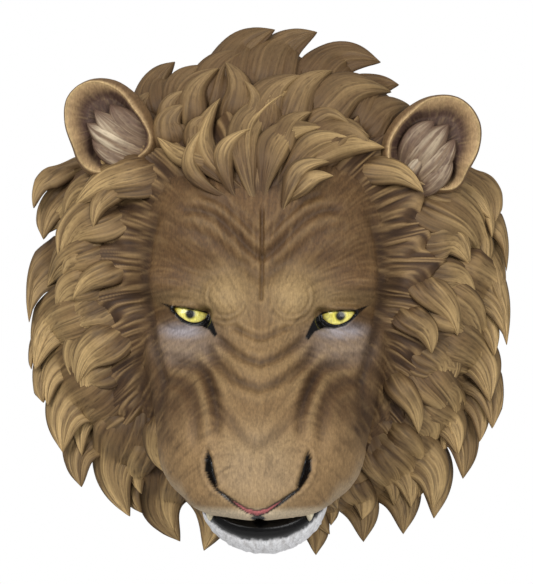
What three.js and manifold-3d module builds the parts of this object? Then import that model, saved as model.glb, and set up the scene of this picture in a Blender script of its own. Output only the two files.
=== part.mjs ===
// Lion head wall mask: a hollow cast-resin lion's head with a full mane, hung by a keyhole in its back.
// Millimetres, +Z up, seen from the front along +Y. The origin is on the wall, above the hollow.
// The carving is drawn in its own axes, (x, depth, z): depth is off the wall, and z is 0 at half the height.
import * as THREE from "three";
import { mergeVertices } from "three/addons/utils/BufferGeometryUtils.js";
import Module from "manifold-3d";

// Driving dimensions
const HEIGHT = 402; // overall, from the tip of the topmost lock to the chin
const WALL = 10; // thickness of the casting around its hollow
const RIM = 35; // width of the flat rim on the wall, around the hollow
const LAND = 102; // height of the flat back above the hollow, which holds the keyhole
const MOUNT_ABOVE_HOLLOW = 14; // the origin's place on that land
const KEYHOLE_ABOVE_MOUNT = 23; // the middle of the keyhole's round end
const KEYHOLE_HEAD = 14; // diameter that a screw's head passes
const KEYHOLE_SLOT = 6.5; // width that its shank slides up
const KEYHOLE_RISE = 15; // from the round end's middle to the slot end's
const KEYHOLE_LIP = 4; // thickness of the lip that the screw's head hooks behind
const KEYHOLE_DEPTH = 13; // depth of the recess

// The carving is drawn at this height, and grows with HEIGHT
const DRAWN_HEIGHT = 402;
const M = HEIGHT / DRAWN_HEIGHT;

// The mane's low dome, which the head and the locks stand on, as drawn
const DOME = { centre: [0, 0, 4], radii: [160, 66, 176] };
const DOME_TOP = DOME.centre[2] + DOME.radii[2];
const HOLLOW_TOP = DOME_TOP - LAND / M;
const MOUNT_Z = HOLLOW_TOP * M + MOUNT_ABOVE_HOLLOW;

const wasm = await Module();
wasm.setup();

const clamp = (v, low, high) => Math.min(high, Math.max(low, v));
const mix = (a, b, t) => a + (b - a) * t;
const radians = THREE.MathUtils.degToRad;

// Joins two distances with a fillet of about k.
function blend(a, b, k) {
  const h = clamp(0.5 + (0.5 * (b - a)) / k, 0, 1);
  return mix(b, a, h) - k * h * (1 - h);
}

// Distance to an ellipsoid. tilt turns it in the face's plane, pitch nods it, both in degrees.
function ellipsoid(p, centre, radii, { tilt = 0, pitch = 0 } = {}) {
  let [x, d, z] = p.map((v, i) => v - centre[i]);
  const [ct, st] = [Math.cos(radians(tilt)), Math.sin(radians(tilt))];
  [x, z] = [x * ct + z * st, z * ct - x * st];
  const [cp, sp] = [Math.cos(radians(pitch)), Math.sin(radians(pitch))];
  [d, z] = [d * cp + z * sp, z * cp - d * sp];
  const q = [x, d, z].map((v, i) => v / radii[i]);
  const near = Math.hypot(...q) + 1e-9;
  const slope = Math.hypot(...q.map((v, i) => v / radii[i])) + 1e-9;
  return (near * (near - 1)) / slope;
}

// Distance to a round-ended cone from a to b, its section widened in x by the factor wide.
function taper(p, a, b, ra, rb, wide) {
  const u = [p[0] / wide - a[0], p[1] - a[1], p[2] - a[2]];
  const v = b.map((c, i) => c - a[i]);
  const t = clamp((u[0] * v[0] + u[1] * v[1] + u[2] * v[2]) / (v[0] ** 2 + v[1] ** 2 + v[2] ** 2), 0, 1);
  return Math.hypot(u[0] - t * v[0], u[1] - t * v[1], u[2] - t * v[2]) - mix(ra, rb, t);
}

// The skull, brow, nose and lips, blended into one form.
function headForm(p) {
  let f = ellipsoid(p, [0, 38, 40], [99, 60, 86]); // cranium
  f = blend(f, ellipsoid(p, [0, 36, -30], [89, 62, 76]), 24); // face
  f = blend(f, ellipsoid(p, [34, 66, 36], [38, 34, 40]), 26); // forehead
  f = blend(f, ellipsoid(p, [22, 84, -7], [24, 27, 21]), 14); // knob beside the frown
  f = blend(f, ellipsoid(p, [60, 66, 3], [34, 31, 15], { tilt: 14 }), 13); // hood over the eye
  f = blend(f, ellipsoid(p, [58, 54, -44], [31, 38, 24]), 16); // under the eye
  f = blend(f, ellipsoid(p, [50, 64, -82], [32, 44, 40]), 24); // cheek
  f = blend(f, taper(p, [0, 80, -24], [0, 148, -128], 30, 32, 1.25), 26); // bridge of the nose
  f = blend(f, ellipsoid(p, [37, 104, -112], [39, 54, 44], { pitch: -12 }), 20); // upper lip
  f = blend(f, ellipsoid(p, [24, 138, -143], [30, 36, 19]), 12); // roll of the lip
  return blend(f, ellipsoid(p, [0, 146, -130], [38, 46, 24], { pitch: -35 }), 12); // nose
}

// The whole casting's form under the locks: the head on the mane's low dome. Negative inside.
const mirrored = ([x, d, z]) => [Math.abs(x), d, z];
const form = (p) => blend(headForm(mirrored(p)), ellipsoid(p, DOME.centre, DOME.radii), 14);

// A solid from a list of points in the part's axes and triangles, whichever way its faces turn.
function solid(points, triangles) {
  const geometry = new THREE.BufferGeometry();
  geometry.setAttribute("position", new THREE.Float32BufferAttribute(points.flat(), 3));
  geometry.setIndex(triangles.flat());
  const merged = mergeVertices(geometry, 1e-4);
  const vertices = merged.attributes.position;
  const indices = merged.index.array;
  let volume = 0;
  const [a, b, c] = [new THREE.Vector3(), new THREE.Vector3(), new THREE.Vector3()];
  for (let i = 0; i < indices.length; i += 3) {
    [a, b, c].forEach((v, k) => v.fromBufferAttribute(vertices, indices[i + k]));
    volume += a.dot(b.cross(c));
  }
  if (volume < 0)
    for (let i = 0; i < indices.length; i += 3) [indices[i], indices[i + 1]] = [indices[i + 1], indices[i]];
  return new wasm.Manifold(
    new wasm.Mesh({ numProp: 3, vertProperties: vertices.array, triVerts: new Uint32Array(indices) }),
  );
}

// A three.js geometry as a solid.
function solidOf(geometry) {
  const points = [];
  const position = geometry.attributes.position;
  for (let i = 0; i < position.count; i++)
    points.push([position.getX(i), position.getY(i), position.getZ(i)]);
  const order = geometry.index ? [...geometry.index.array] : points.map((_, i) => i);
  const triangles = [];
  for (let i = 0; i < order.length; i += 3) triangles.push(order.slice(i, i + 3));
  return solid(points, triangles);
}

// From the carving's axes to the part's.
const place = ([x, d, z]) => [x * M, -d * M, z * M - MOUNT_Z];

// Closes rings of points, each as long as the last, into a solid with a fan at both ends.
function rings(list, first, last) {
  const n = list[0].length;
  const points = [first, ...list.flat(), last];
  const end = points.length - 1;
  const triangles = [];
  for (let k = 0; k < n; k++) {
    const next = (k + 1) % n;
    triangles.push([0, 1 + next, 1 + k], [end, end - n + k, end - n + next]);
    for (let r = 0; r + 1 < list.length; r++) {
      const [a, b, c, e] = [r * n + k, r * n + next, (r + 1) * n + k, (r + 1) * n + next].map((i) => i + 1);
      triangles.push([a, b, e], [a, e, c]);
    }
  }
  return solid(points.map(place), triangles);
}

// Where a ray from one point of the wall plane last leaves a form, coming in from outside.
const EYE_OF_RAYS = -40; // that point's height
const RAY_REACH = 270;
function rayLength(direction, inside) {
  const at = (r) => inside([direction[0] * r, direction[1] * r, EYE_OF_RAYS + direction[2] * r]);
  let r = RAY_REACH;
  while (r > 1 && at(r) > 0.3) r -= clamp(at(r) * 0.5, 0.4, 5);
  let [low, high] = [Math.max(r - 2, 0.5), r + 2];
  for (let i = 0; i < 12; i++) {
    const middle = (low + high) / 2;
    if (at(middle) < 0) low = middle;
    else high = middle;
  }
  return low;
}

// A shell seen from one point of the wall: rings of rays, dense in front, with the last ring in its plane.
function star({ turns, steps, crowd, inside, below = 0 }) {
  const z0 = EYE_OF_RAYS;
  const list = [];
  for (let i = 1; i <= steps; i++) {
    const phi = (Math.PI / 2) * (i / steps) ** crowd;
    const ring = [];
    for (let k = 0; k < turns; k++) {
      const theta = (2 * Math.PI * k) / turns;
      const flat = i === steps ? 0 : Math.cos(phi);
      const direction = [Math.sin(phi) * Math.sin(theta), flat, Math.sin(phi) * Math.cos(theta)];
      const r = rayLength(direction, inside);
      ring.push([direction[0] * r, direction[1] * r, z0 + direction[2] * r]);
    }
    list.push(ring);
  }
  if (below) list.push(list.at(-1).map(([x, , z]) => [x, -below, z]));
  const front = rayLength([0, 1, 0], inside);
  return rings(list, [0, front, z0], [0, -below, z0]);
}

// Depth of the form's front at a place of the face's plane, 0 outside it.
function frontDepth(x, z) {
  let d = 215;
  while (d > 0 && form([x, d, z]) > 0.4) d -= clamp(form([x, d, z]) * 0.7, 0.4, 20);
  return Math.max(d, 0);
}

// Depth of the dome alone.
function domeDepth(x, z) {
  const [wide, deep, high] = DOME.radii;
  return deep * Math.sqrt(Math.max(1 - (x / wide) ** 2 - ((z - DOME.centre[2]) / high) ** 2, 0));
}

// A round bead along a line of points, with a radius at each.
function bead(points, radii, sides = 5) {
  const path = points.map((p) => new THREE.Vector3(...p));
  const list = path.map((at, i) => {
    const along = path[Math.min(i + 1, path.length - 1)].clone().sub(path[Math.max(i - 1, 0)]).normalize();
    const across = new THREE.Vector3().crossVectors(along, new THREE.Vector3(0, 1, 0)).normalize();
    const up = new THREE.Vector3().crossVectors(across, along);
    return Array.from({ length: sides }, (_, k) => {
      const angle = (2 * Math.PI * (k + 0.5)) / sides;
      const v = at.clone().addScaledVector(across, radii[i] * Math.cos(angle));
      return v.addScaledVector(up, radii[i] * Math.sin(angle)).toArray();
    });
  });
  return rings(list, points[0], points.at(-1));
}

// A bead laid along the face: its points stand off the form by a height of their own.
const laid = (line, radii, off) => bead(line.map(([x, z], i) => [x, frontDepth(x, z) + off[i], z]), radii);

// An ellipsoid's solid, turned the same way as its distance above, or its mirror image for side -1.
function oval({ centre, radii, turn = {}, side = 1 }, across, around) {
  const { tilt = 0, pitch = 0 } = turn;
  const sphere = new THREE.SphereGeometry(1, across, around);
  sphere.scale(radii[0], radii[1], radii[2]);
  sphere.rotateX(radians(-pitch));
  sphere.rotateY(radians(tilt));
  sphere.scale(1, -1, 1);
  const position = sphere.attributes.position;
  for (let i = 0; i < position.count; i++) {
    const [x, d, z] = [position.getX(i), -position.getY(i), position.getZ(i)];
    position.setXYZ(i, ...place([(x + centre[0]) * side, centre[1] - d, z + centre[2]]));
  }
  return solidOf(stripped(sphere));
}

// The face's two sides, and a line of points drawn for the first one moved to either.
const SIDES = [1, -1];
const mirror = (side, line) => line.map(([x, ...rest]) => [x * side, ...rest]);

// The skin's main furrows on one side of the face, mirrored on the other: points (x, z) and half width.
const FURROWS = [
  { line: [[46, 62], [27, 51], [7, 29]], wide: 4 },
  { line: [[30, -32], [17, -40], [0, -52]], wide: 4.5 },
  { line: [[36, -42], [18, -64], [0, -74]], wide: 4.5 },
  { line: [[64, -53], [47, -62], [39, -86]], wide: 4 },
];
const FROWN = { line: [[0, 62], [0, 30], [0, -2]], wide: 6 };
const NOSTRIL = [[37, -113], [34, -127], [27, -141], [14, -150], [0.5, -156]];
const SOCKET = { centre: [54, 108, -20], radii: [23, 22, 9], turn: { tilt: 22 } };
const EYE = { centre: [54, 76, -17], radius: 18 };
const UPPER_LID = [[34, -33], [45, -21], [60, -12], [76, -10]];
const LOWER_LID = [[33, -34], [48, -31], [64, -24], [76, -12]];

const JAW = { centre: [0, 84, -161], radii: [47, 68, 33] };
const MOUTH = { centre: [0, 160, -168], radii: [47, 50, 8.5], turn: { pitch: 20 } };
const FANG = [[36, 134, -152], [36, 137, -166]];

// The head with its eyes, nostrils, furrows, mouth and teeth.
function head() {
  let f = star({ turns: 42, steps: 24, crowd: 1.1, inside: form });
  f = f.subtract(laid(FROWN.line, [2, FROWN.wide, 3], [0, 3, 0]));
  for (const side of SIDES) {
    for (const { line, wide } of FURROWS) {
      const last = line.length - 1;
      const radii = line.map((_, i) => (i === 0 || (i === last && line[i][0] > 3) ? wide * 0.4 : wide));
      f = f.subtract(laid(mirror(side, line), radii, radii.map((r) => r * 0.3)));
    }
    f = f.subtract(oval({ ...SOCKET, side }, 12, 8));
    f = f.add(oval({ centre: EYE.centre, radii: Array(3).fill(EYE.radius), side }, 12, 8));
    f = f.add(bead(mirror(side, UPPER_LID).map(([x, z]) => [x, lidDepth(x, z), z]), [3, 4.5, 5, 3]));
    f = f.add(bead(mirror(side, LOWER_LID).map(([x, z]) => [x, lidDepth(x, z), z]), [3, 3, 3, 2.5]));
    f = f.subtract(laid(mirror(side, NOSTRIL), [3, 5, 4, 2, 1.6], [0, 0, 0, 0, 0]));
  }
  f = f.add(oval(JAW, 16, 10)).subtract(oval(MOUTH, 16, 6));
  for (const side of SIDES) f = f.add(bead(mirror(side, FANG), [4, 0.8], 8));
  return f;
}

// Depth at which a lid's line lies: on the eyeball in its middle, and on the skin at its corners.
function lidDepth(x, z) {
  const [ex, ed, ez] = EYE.centre;
  const ball = Math.sqrt(Math.max((EYE.radius + 1) ** 2 - (Math.abs(x) - ex) ** 2 - (z - ez) ** 2, 0));
  return Math.max(ed + ball, 78);
}

// The locks by layer, from the wall forwards. Each lock is [root x, root z, tip x, tip z, width, bend].
// bend is how far its middle swings to the left of its run, as a share of its length. sink, lift and curl
// say how deep a layer's roots are set in the form, and how far their middles and tips stand off it.
const LOCKS = {
  back: { sink: 8, lift: 5, curl: 14, thick: 13, run: [
    [-50, 132, -76, 181, 34, 0.04], [-30, 137, 2, 202, 40, 0.08], [-6, 142, 40, 200, 40, 0.1],
    [22, 134, 92, 180, 40, 0.14], [46, 120, 106, 160, 34, 0.14], [138, 95, 172, 52, 27, 0.14],
    [122, 66, 177, -14, 36, 0.1], [126, -34, 170, -104, 38, 0.1], [108, -66, 148, -142, 40, 0.1],
    [90, -88, 126, -172, 42, 0.08], [66, -108, 103, -184, 42, 0.06], [46, -118, 73, -190, 42, 0.02],
    [22, -143, 37, -200, 32, 0], [-76, -113, -66, -190, 46, -0.05], [-118, -82, -141, -149, 40, -0.06],
    [-149, -37, -170, -85, 33, -0.1], [-134, 42, -184, -24, 38, -0.1], [-130, 88, -170, 39, 36, -0.08],
  ] },
  middle: { sink: 6, lift: 12, curl: 15, thick: 15, run: [
    [-97, 64, -155, 19, 34, -0.14], [-108, 34, -167, 3, 28, -0.1], [-120, 12, -158, -15, 26, -0.1],
    [-116, -10, -176, -60, 44, -0.14], [-112, -59, -155, -123, 45, -0.12], [-98, -80, -104, -171, 44, -0.1],
    [-50, -115, -48, -197, 40, 0.04], [-79, -104, -95, -154, 20, -0.1], [126, 28, 184, -41, 38, 0.1],
    [101, 75, 164, 10, 36, 0.16], [112, 1, 161, -52, 34, 0.14], [116, -29, 168, -84, 40, 0.14],
    [101, -44, 140, -112, 32, 0.1], [101, -74, 144, -124, 34, 0.1], [86, -96, 125, -165, 40, 0.1],
    [71, -104, 109, -164, 34, 0.08], [60, -134, 72, -173, 28, 0.04],
  ] },
  front: { sink: 4, lift: 8, curl: 12, thick: 13, run: [
    [-84, 78, -144, 66, 20, 0.1], [-84, 67, -132, 41, 24, -0.06], [-95, 55, -131, -5, 24, -0.16],
    [-93, -29, -118, -71, 32, -0.12], [-79, -70, -102, -96, 20, -0.1], [64, 93, 119, 73, 20, 0.14],
    [101, 45, 130, -13, 28, 0.14], [101, 1, 119, -44, 24, 0.14], [97, -29, 106, -59, 22, 0.1],
    [82, -70, 93, -117, 24, 0.1],
  ] },
  crown: { crown: true, sink: 5, lift: 10, curl: 17, thick: 14, run: [
    [-59, 105, -69, 146, 27, 0], [-37, 105, -31, 173, 30, 0.06], [-7, 105, 25, 164, 30, 0.12],
    [4, 105, 43, 162, 28, 0.14], [19, 105, 93, 150, 36, 0.2], [-26, 90, -44, 122, 22, -0.06],
    [-41, 90, -82, 105, 18, -0.12], [-2, 68, -35, 146, 30, -0.06], [0, 72, 17, 150, 30, 0.08],
    [12, 75, 44, 125, 28, 0.12], [49, 88, 79, 108, 22, 0.1], [41, 92, 90, 97, 20, 0.14],
  ] },
};

// A lock's half width along its run, as a share of the widest.
const WIDEST_AT = 0.42;
function lockWidth(t) {
  if (t < WIDEST_AT) return mix(0.6, 1, Math.sin((Math.PI / 2) * (t / WIDEST_AT)));
  return 1 - ((t - WIDEST_AT) / (1 - WIDEST_AT)) ** 2.2;
}
const LOCK_STEPS = [0, 0.3, 0.6, 0.85];
const LOCK_TOP = [-1, -0.5, 0, 0.5, 1]; // places across the lock's top
const LOCK_BELLY = 0.4; // depth of its underside, as a share of its thickness

// Keeps a point in front of the wall.
const CLEAR_OF_WALL = 1;
const offWall = ({ x, y, z }) => [x, Math.max(y, CLEAR_OF_WALL), z];

// One lock of hair: a tapering leaf with a ridge along it, set on the form and curling off it at its tip.
function lock([rootX, rootZ, tipX, tipZ, width, bend], { sink, lift, curl, thick, crown = false }) {
  const [runX, runZ] = [tipX - rootX, tipZ - rootZ];
  const middle = [(rootX + tipX) / 2 - runZ * bend, (rootZ + tipZ) / 2 + runX * bend];
  const seat = (x, z) => (crown ? frontDepth(x, z) : Math.min(frontDepth(x, z), domeDepth(x, z)));
  const depths = [seat(rootX, rootZ) - sink, seat(...middle) + lift, seat(tipX, tipZ) + curl];
  const control = 2 * depths[1] - (depths[0] + depths[2]) / 2;
  const path = new THREE.QuadraticBezierCurve3(
    new THREE.Vector3(rootX, depths[0], rootZ),
    new THREE.Vector3(middle[0] - runZ * bend, control, middle[1] + runX * bend),
    new THREE.Vector3(tipX, depths[2], tipZ),
  );
  const section = (t) => {
    const at = path.getPoint(t);
    const along = path.getTangent(t);
    const out = new THREE.Vector3(at.x / 240, 1, at.z / 240);
    const across = new THREE.Vector3().crossVectors(along, out).normalize();
    const up = new THREE.Vector3().crossVectors(across, along).normalize();
    const half = (width / 2) * lockWidth(t);
    const high = thick * 0.6 * Math.sqrt(lockWidth(t));
    const point = (s, h) => {
      return offWall(at.clone().addScaledVector(across, s * half).addScaledVector(up, h * high));
    };
    const top = LOCK_TOP.map((s) => point(s, (1 - s * s) ** 0.6 * (s === 0 ? 1.15 : 0.9)));
    return [...top, point(0, -LOCK_BELLY)];
  };
  const [root, tip] = [0, 1].map((t) => offWall(path.getPoint(t)));
  return rings(LOCK_STEPS.map(section), root, tip);
}

// The ears: cupped, round, each a shell of rings from the bottom of its cup over the rim and down its back.
const EARS = [
  { x: -120, z: 129, depth: 52, wide: 37, high: 35, tilt: 18, turn: -12 },
  { x: 126, z: 112, depth: 52, wide: 36, high: 37, tilt: -20, turn: 12 },
];
// [share of the radius, stand-off of the rim's crest, share of the way back into the mane]
const EAR_RINGS = [
  [0.3, -19, 0], [0.58, -15, 0], [0.78, -7, 0], [0.92, 0, 0],
  [1, -3, 0], [1.01, -9, 0], [0.9, -24, 0.35], [0.6, -42, 0.8],
];
const EAR_LEAN = 26;
const EAR_SIDES = 14;
function ear({ x, z, depth, wide, high, tilt, turn }) {
  const away = Math.hypot(x, z);
  const point = (share, off, back, angle) => {
    const [a, b] = [wide * share * Math.sin(angle), high * share * Math.cos(angle)];
    const v = new THREE.Vector3(a, off, b);
    v.applyAxisAngle(new THREE.Vector3(0, 0, 1), radians(-turn));
    v.applyAxisAngle(new THREE.Vector3(0, 1, 0), radians(-tilt));
    const lean = (back * EAR_LEAN) / away;
    return offWall({ x: x * (1 - lean) + v.x, y: depth + v.y, z: z * (1 - lean) + v.z });
  };
  const list = EAR_RINGS.map(([share, off, back]) =>
    Array.from({ length: EAR_SIDES }, (_, k) => point(share, off, back, (2 * Math.PI * k) / EAR_SIDES)),
  );
  return rings(list, point(0, -20, 0, 0), point(0, -46, 1, 0));
}

// The keyhole's cutter: a round hole with a slot above it, undercut behind a lip.
function keyhole() {
  const overshoot = 2;
  const shape = (headRadius, slotHalf) => {
    const s = new THREE.Shape();
    const side = Math.asin(slotHalf / headRadius);
    s.absarc(0, 0, headRadius, Math.PI / 2 + side, Math.PI / 2 - side + 2 * Math.PI, false);
    s.lineTo(slotHalf, KEYHOLE_RISE);
    s.absarc(0, KEYHOLE_RISE, slotHalf, 0, Math.PI, false);
    s.closePath();
    return s;
  };
  const cut = (outline, from, to) => {
    const settings = { depth: to - from, bevelEnabled: false, curveSegments: 6 };
    const geometry = new THREE.ExtrudeGeometry(outline, settings);
    geometry.rotateX(Math.PI / 2);
    geometry.translate(0, -from, KEYHOLE_ABOVE_MOUNT);
    return solidOf(stripped(geometry));
  };
  const head = KEYHOLE_HEAD / 2;
  return cut(shape(head, KEYHOLE_SLOT / 2), -overshoot, KEYHOLE_DEPTH).add(
    cut(shape(head * 1.001, head * 0.999), KEYHOLE_LIP, KEYHOLE_DEPTH),
  );
}

// A geometry with only its points left, so that shared ones merge.
function stripped(geometry) {
  geometry.deleteAttribute("normal");
  geometry.deleteAttribute("uv");
  return mergeVertices(geometry, 1e-4);
}

// The hollow behind the face: the form again, a wall's thickness in, inside the rim and below the land.
const DEEPER = 3.5; // how much deeper than the dome the hollow may run, to reach into the nose
function hollow() {
  const [wide, , high] = DOME.radii.map((r) => r - RIM / M);
  const inside = (p) => {
    const bowl = ellipsoid(p, DOME.centre, [wide, DOME.radii[1] * DEEPER, high]);
    const cuts = [MOUTH, SOCKET].map(({ centre, radii, turn }) => ellipsoid(mirrored(p), centre, radii, turn));
    return Math.max(form(p) + WALL / M, bowl, p[2] - HOLLOW_TOP, ...cuts.map((away) => WALL / M - away));
  };
  return star({ turns: 26, steps: 12, crowd: 1, inside, below: 6 });
}

function lionHead() {
  let body = head();
  for (const layer of Object.values(LOCKS)) for (const row of layer.run) body = body.add(lock(row, layer));
  for (const one of EARS) body = body.add(ear(one));
  return body.subtract(hollow()).subtract(keyhole());
}

// The outer shell of a solid: pockets that are sealed in between its locks are filled.
function outerShell(made) {
  const { vertProperties, triVerts } = made.getMesh();
  const group = Int32Array.from({ length: vertProperties.length / 3 }, (_, i) => i);
  const rootOf = (i) => {
    while (group[i] !== i) i = group[i] = group[group[i]];
    return i;
  };
  for (let i = 0; i < triVerts.length; i += 3) {
    group[rootOf(triVerts[i + 1])] = rootOf(triVerts[i]);
    group[rootOf(triVerts[i + 2])] = rootOf(triVerts[i]);
  }
  const count = new Map();
  for (let i = 0; i < triVerts.length; i += 3) {
    const root = rootOf(triVerts[i]);
    count.set(root, (count.get(root) ?? 0) + 1);
  }
  const [largest] = [...count].sort((a, b) => b[1] - a[1])[0];
  const kept = [];
  for (let i = 0; i < triVerts.length; i += 3)
    if (rootOf(triVerts[i]) === largest) kept.push(...triVerts.subarray(i, i + 3));
  const geometry = new THREE.BufferGeometry();
  geometry.setAttribute("position", new THREE.BufferAttribute(vertProperties, 3));
  geometry.setIndex(kept);
  return geometry;
}

function meshOf(name, made, color, roughness) {
  const material = new THREE.MeshStandardMaterial({ color, roughness, metalness: 0 });
  const mesh = new THREE.Mesh(outerShell(made), material);
  mesh.name = name;
  return mesh;
}

const mask = new THREE.Group();
mask.add(meshOf("lion_head_mask", lionHead(), 0x8f7450, 0.7));

export default mask;
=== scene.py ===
"""Looks of the lion head wall mask: painted cast resin, modelled as mesh around the CAD frame.

The carving is drawn in millimetres as (x, depth, z): depth is off the wall, z is 0 at half the height.
"""
import math

import bmesh
import bpy
import numpy as np
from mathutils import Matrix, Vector


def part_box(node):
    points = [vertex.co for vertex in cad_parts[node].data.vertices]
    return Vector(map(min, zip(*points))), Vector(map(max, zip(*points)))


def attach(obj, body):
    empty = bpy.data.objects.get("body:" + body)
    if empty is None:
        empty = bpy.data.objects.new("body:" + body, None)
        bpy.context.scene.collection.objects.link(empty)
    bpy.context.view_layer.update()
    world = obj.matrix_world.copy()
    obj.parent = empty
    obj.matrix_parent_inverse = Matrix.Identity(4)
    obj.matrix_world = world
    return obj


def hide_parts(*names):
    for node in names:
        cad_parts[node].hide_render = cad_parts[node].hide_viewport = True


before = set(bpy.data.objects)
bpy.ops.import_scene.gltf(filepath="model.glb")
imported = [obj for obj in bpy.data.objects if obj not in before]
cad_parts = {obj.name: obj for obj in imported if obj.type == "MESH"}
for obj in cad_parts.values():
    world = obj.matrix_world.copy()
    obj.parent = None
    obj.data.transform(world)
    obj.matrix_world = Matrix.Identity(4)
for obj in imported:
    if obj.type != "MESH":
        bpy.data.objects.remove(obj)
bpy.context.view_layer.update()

NODE = "lion_head_mask"
CAD_LOW, CAD_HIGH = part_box(NODE)
DRAWN_HEIGHT = 402.0
DRAWN_LOW = -200.0
UNIT = (CAD_HIGH.z - CAD_LOW.z) / DRAWN_HEIGHT  # metres to a drawn millimetre


def place(p):
    """From the carving's axes to the frame's."""
    p = np.asarray(p, float)
    return np.stack([p[..., 0] * UNIT, -p[..., 1] * UNIT, CAD_LOW.z + (p[..., 2] - DRAWN_LOW) * UNIT], -1)


# Numbers and small geometry.
def clamp(v, low=0.0, high=1.0):
    return np.clip(v, low, high)


def smooth(a, b, v):
    """0 at a, 1 at b and an S-shaped rise between."""
    t = clamp((v - a) / (b - a))
    return t * t * (3 - 2 * t)


def mix(a, b, t):
    """a where t is 0, b where it is 1."""
    return a + (b - a) * t


def bell(v, width):
    """1 at 0, falling off on both sides."""
    return np.exp(-((v / width) ** 2))


def rotate(a, b, degrees):
    """Two coordinates, turned about their origin."""
    c, s = math.cos(math.radians(degrees)), math.sin(math.radians(degrees))
    return a * c + b * s, b * c - a * s


def spaced(stops):
    """Places from the first stop to the last, at the spacing that the stops (place, spacing) give."""
    at, gap = np.array(stops, float).T
    fine = np.linspace(at[0], at[-1], 4000)
    count = np.concatenate([[0], np.cumsum(np.diff(fine) / np.interp((fine[1:] + fine[:-1]) / 2, at, gap))])
    return np.interp(np.linspace(0, count[-1], int(count[-1]) + 1), count, fine)


class Grid:
    """Values on a flat grid of square cells, read between cells by blending."""

    def __init__(self, low, high, cell):
        self.low, self.cell = np.array(low, float), cell
        self.shape = [int((h - l) / cell) + 2 for l, h in zip(low, high)]
        axes = [self.low[i] + cell * np.arange(n) for i, n in enumerate(self.shape)]
        self.a, self.b = np.meshgrid(*axes, indexing="ij")

    def read(self, values, a, b):
        """The values at places (a, b)."""
        i = clamp((a - self.low[0]) / self.cell, 0, self.shape[0] - 1.001)
        j = clamp((b - self.low[1]) / self.cell, 0, self.shape[1] - 1.001)
        i0, j0 = i.astype(int), j.astype(int)
        u, v = i - i0, j - j0
        top = mix(values[i0, j0], values[i0 + 1, j0], u)
        return mix(top, mix(values[i0, j0 + 1], values[i0 + 1, j0 + 1], u), v)


def evened(values, kernel):
    """A row of values evened out by a kernel, with its ends held."""
    return np.convolve(np.pad(values, len(kernel) // 2, mode="edge"), kernel / kernel.sum(), "valid")


NOISE_CELLS = 64


def noise(a, b, seed):
    """Smooth noise of two coordinates, about -1 to 1, one cell to each unit."""
    table = np.random.default_rng(seed).uniform(-1, 1, (NOISE_CELLS, NOISE_CELLS))
    i, j = np.floor(a).astype(int), np.floor(b).astype(int)
    u, v = a - i, b - j
    u, v = u * u * (3 - 2 * u), v * v * (3 - 2 * v)
    i, i_next = i % NOISE_CELLS, (i + 1) % NOISE_CELLS
    j, j_next = j % NOISE_CELLS, (j + 1) % NOISE_CELLS
    return mix(mix(table[i, j], table[i_next, j], u), mix(table[i, j_next], table[i_next, j_next], u), v)


def line_distance(x, z, line):
    """Distance to a bent line in the face's plane, and the place along it from 0 to 1."""
    line = np.array(line, float)
    lengths = np.hypot(*np.diff(line, axis=0).T)
    starts = np.concatenate([[0], np.cumsum(lengths)])
    best = np.full(np.shape(x), 1e9)
    along = np.zeros(np.shape(x))
    for (a, b), length, start in zip(zip(line[:-1], line[1:]), lengths, starts):
        run = (b - a) / length
        t = clamp((x - a[0]) * run[0] + (z - a[1]) * run[1], 0, length)
        d = np.hypot(x - a[0] - t * run[0], z - a[1] - t * run[1])
        along = np.where(d < best, (start + t) / starts[-1], along)
        best = np.minimum(best, d)
    return best, along


def through(a, b, c, e, t):
    """A smooth line from b to c, where a comes before them and e after."""
    return 0.5 * (2 * b + (c - a) * t + (2 * a - 5 * b + 4 * c - e) * t**2 + (3 * b - a - 3 * c + e) * t**3)


def curve(points, steps=5):
    """A smooth line through points."""
    p = np.array(points, float)
    q = np.concatenate([[2 * p[0] - p[1]], p, [2 * p[-1] - p[-2]]])
    t = (np.arange(steps) / steps)[:, None]
    runs = [through(*four, t) for four in zip(q[:-3], q[1:-2], q[2:-1], q[3:])]
    return np.concatenate(runs + [p[-1:]])


def bowed(start, end, bend, t):
    """Points at places t along a line that bows to its left, by a share of its length."""
    start, end = np.array(start, float), np.array(end, float)
    run = end - start
    control = (start + end) / 2 + 2 * bend * np.array([-run[1], run[0]])
    t = t[:, None]
    return (1 - t) ** 2 * start + 2 * t * (1 - t) * control + t**2 * end


def ellipse_edge(a, b, ra, rb):
    """Distance outside an ellipse, negative inside it."""
    near = np.sqrt((a / ra) ** 2 + (b / rb) ** 2) + 1e-9
    slope = np.sqrt((a / ra**2) ** 2 + (b / rb**2) ** 2) + 1e-9
    return near * (near - 1) / slope


def outline_distance(x, z, outline):
    """Distance outside a closed outline in the face's plane, negative inside it."""
    a, b = outline, np.roll(outline, -1, axis=0)
    best = np.full(np.shape(x), 1e9)
    inside = np.zeros(np.shape(x), bool)
    for (ax, az), (bx, bz) in zip(a, b):
        rx, rz = bx - ax, bz - az
        t = clamp(((x - ax) * rx + (z - az) * rz) / (rx * rx + rz * rz + 1e-12))
        best = np.minimum(best, np.hypot(x - ax - t * rx, z - az - t * rz))
        if abs(rz) > 1e-9:
            crosses = ((az > z) != (bz > z)) & (x < ax + (z - az) / rz * rx)
            inside ^= crosses
    return np.where(inside, -best, best)


# The head's form. A form's centre and its radii are in the carving's axes.
DOME = ((0, 0, 4), (160, 66, 176))
WALL = 10
RIM = 35  # width of the flat rim that rests on the wall
HOLLOW_TOP = 78  # where the hollow ends, under the land that holds the keyhole
RAYS_FROM_Z = -40  # height of the point that the rays leave from


def mirrored(p):
    """Points moved to the side of positive x."""
    return np.concatenate([np.abs(p[..., :1]), p[..., 1:]], -1)


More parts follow.
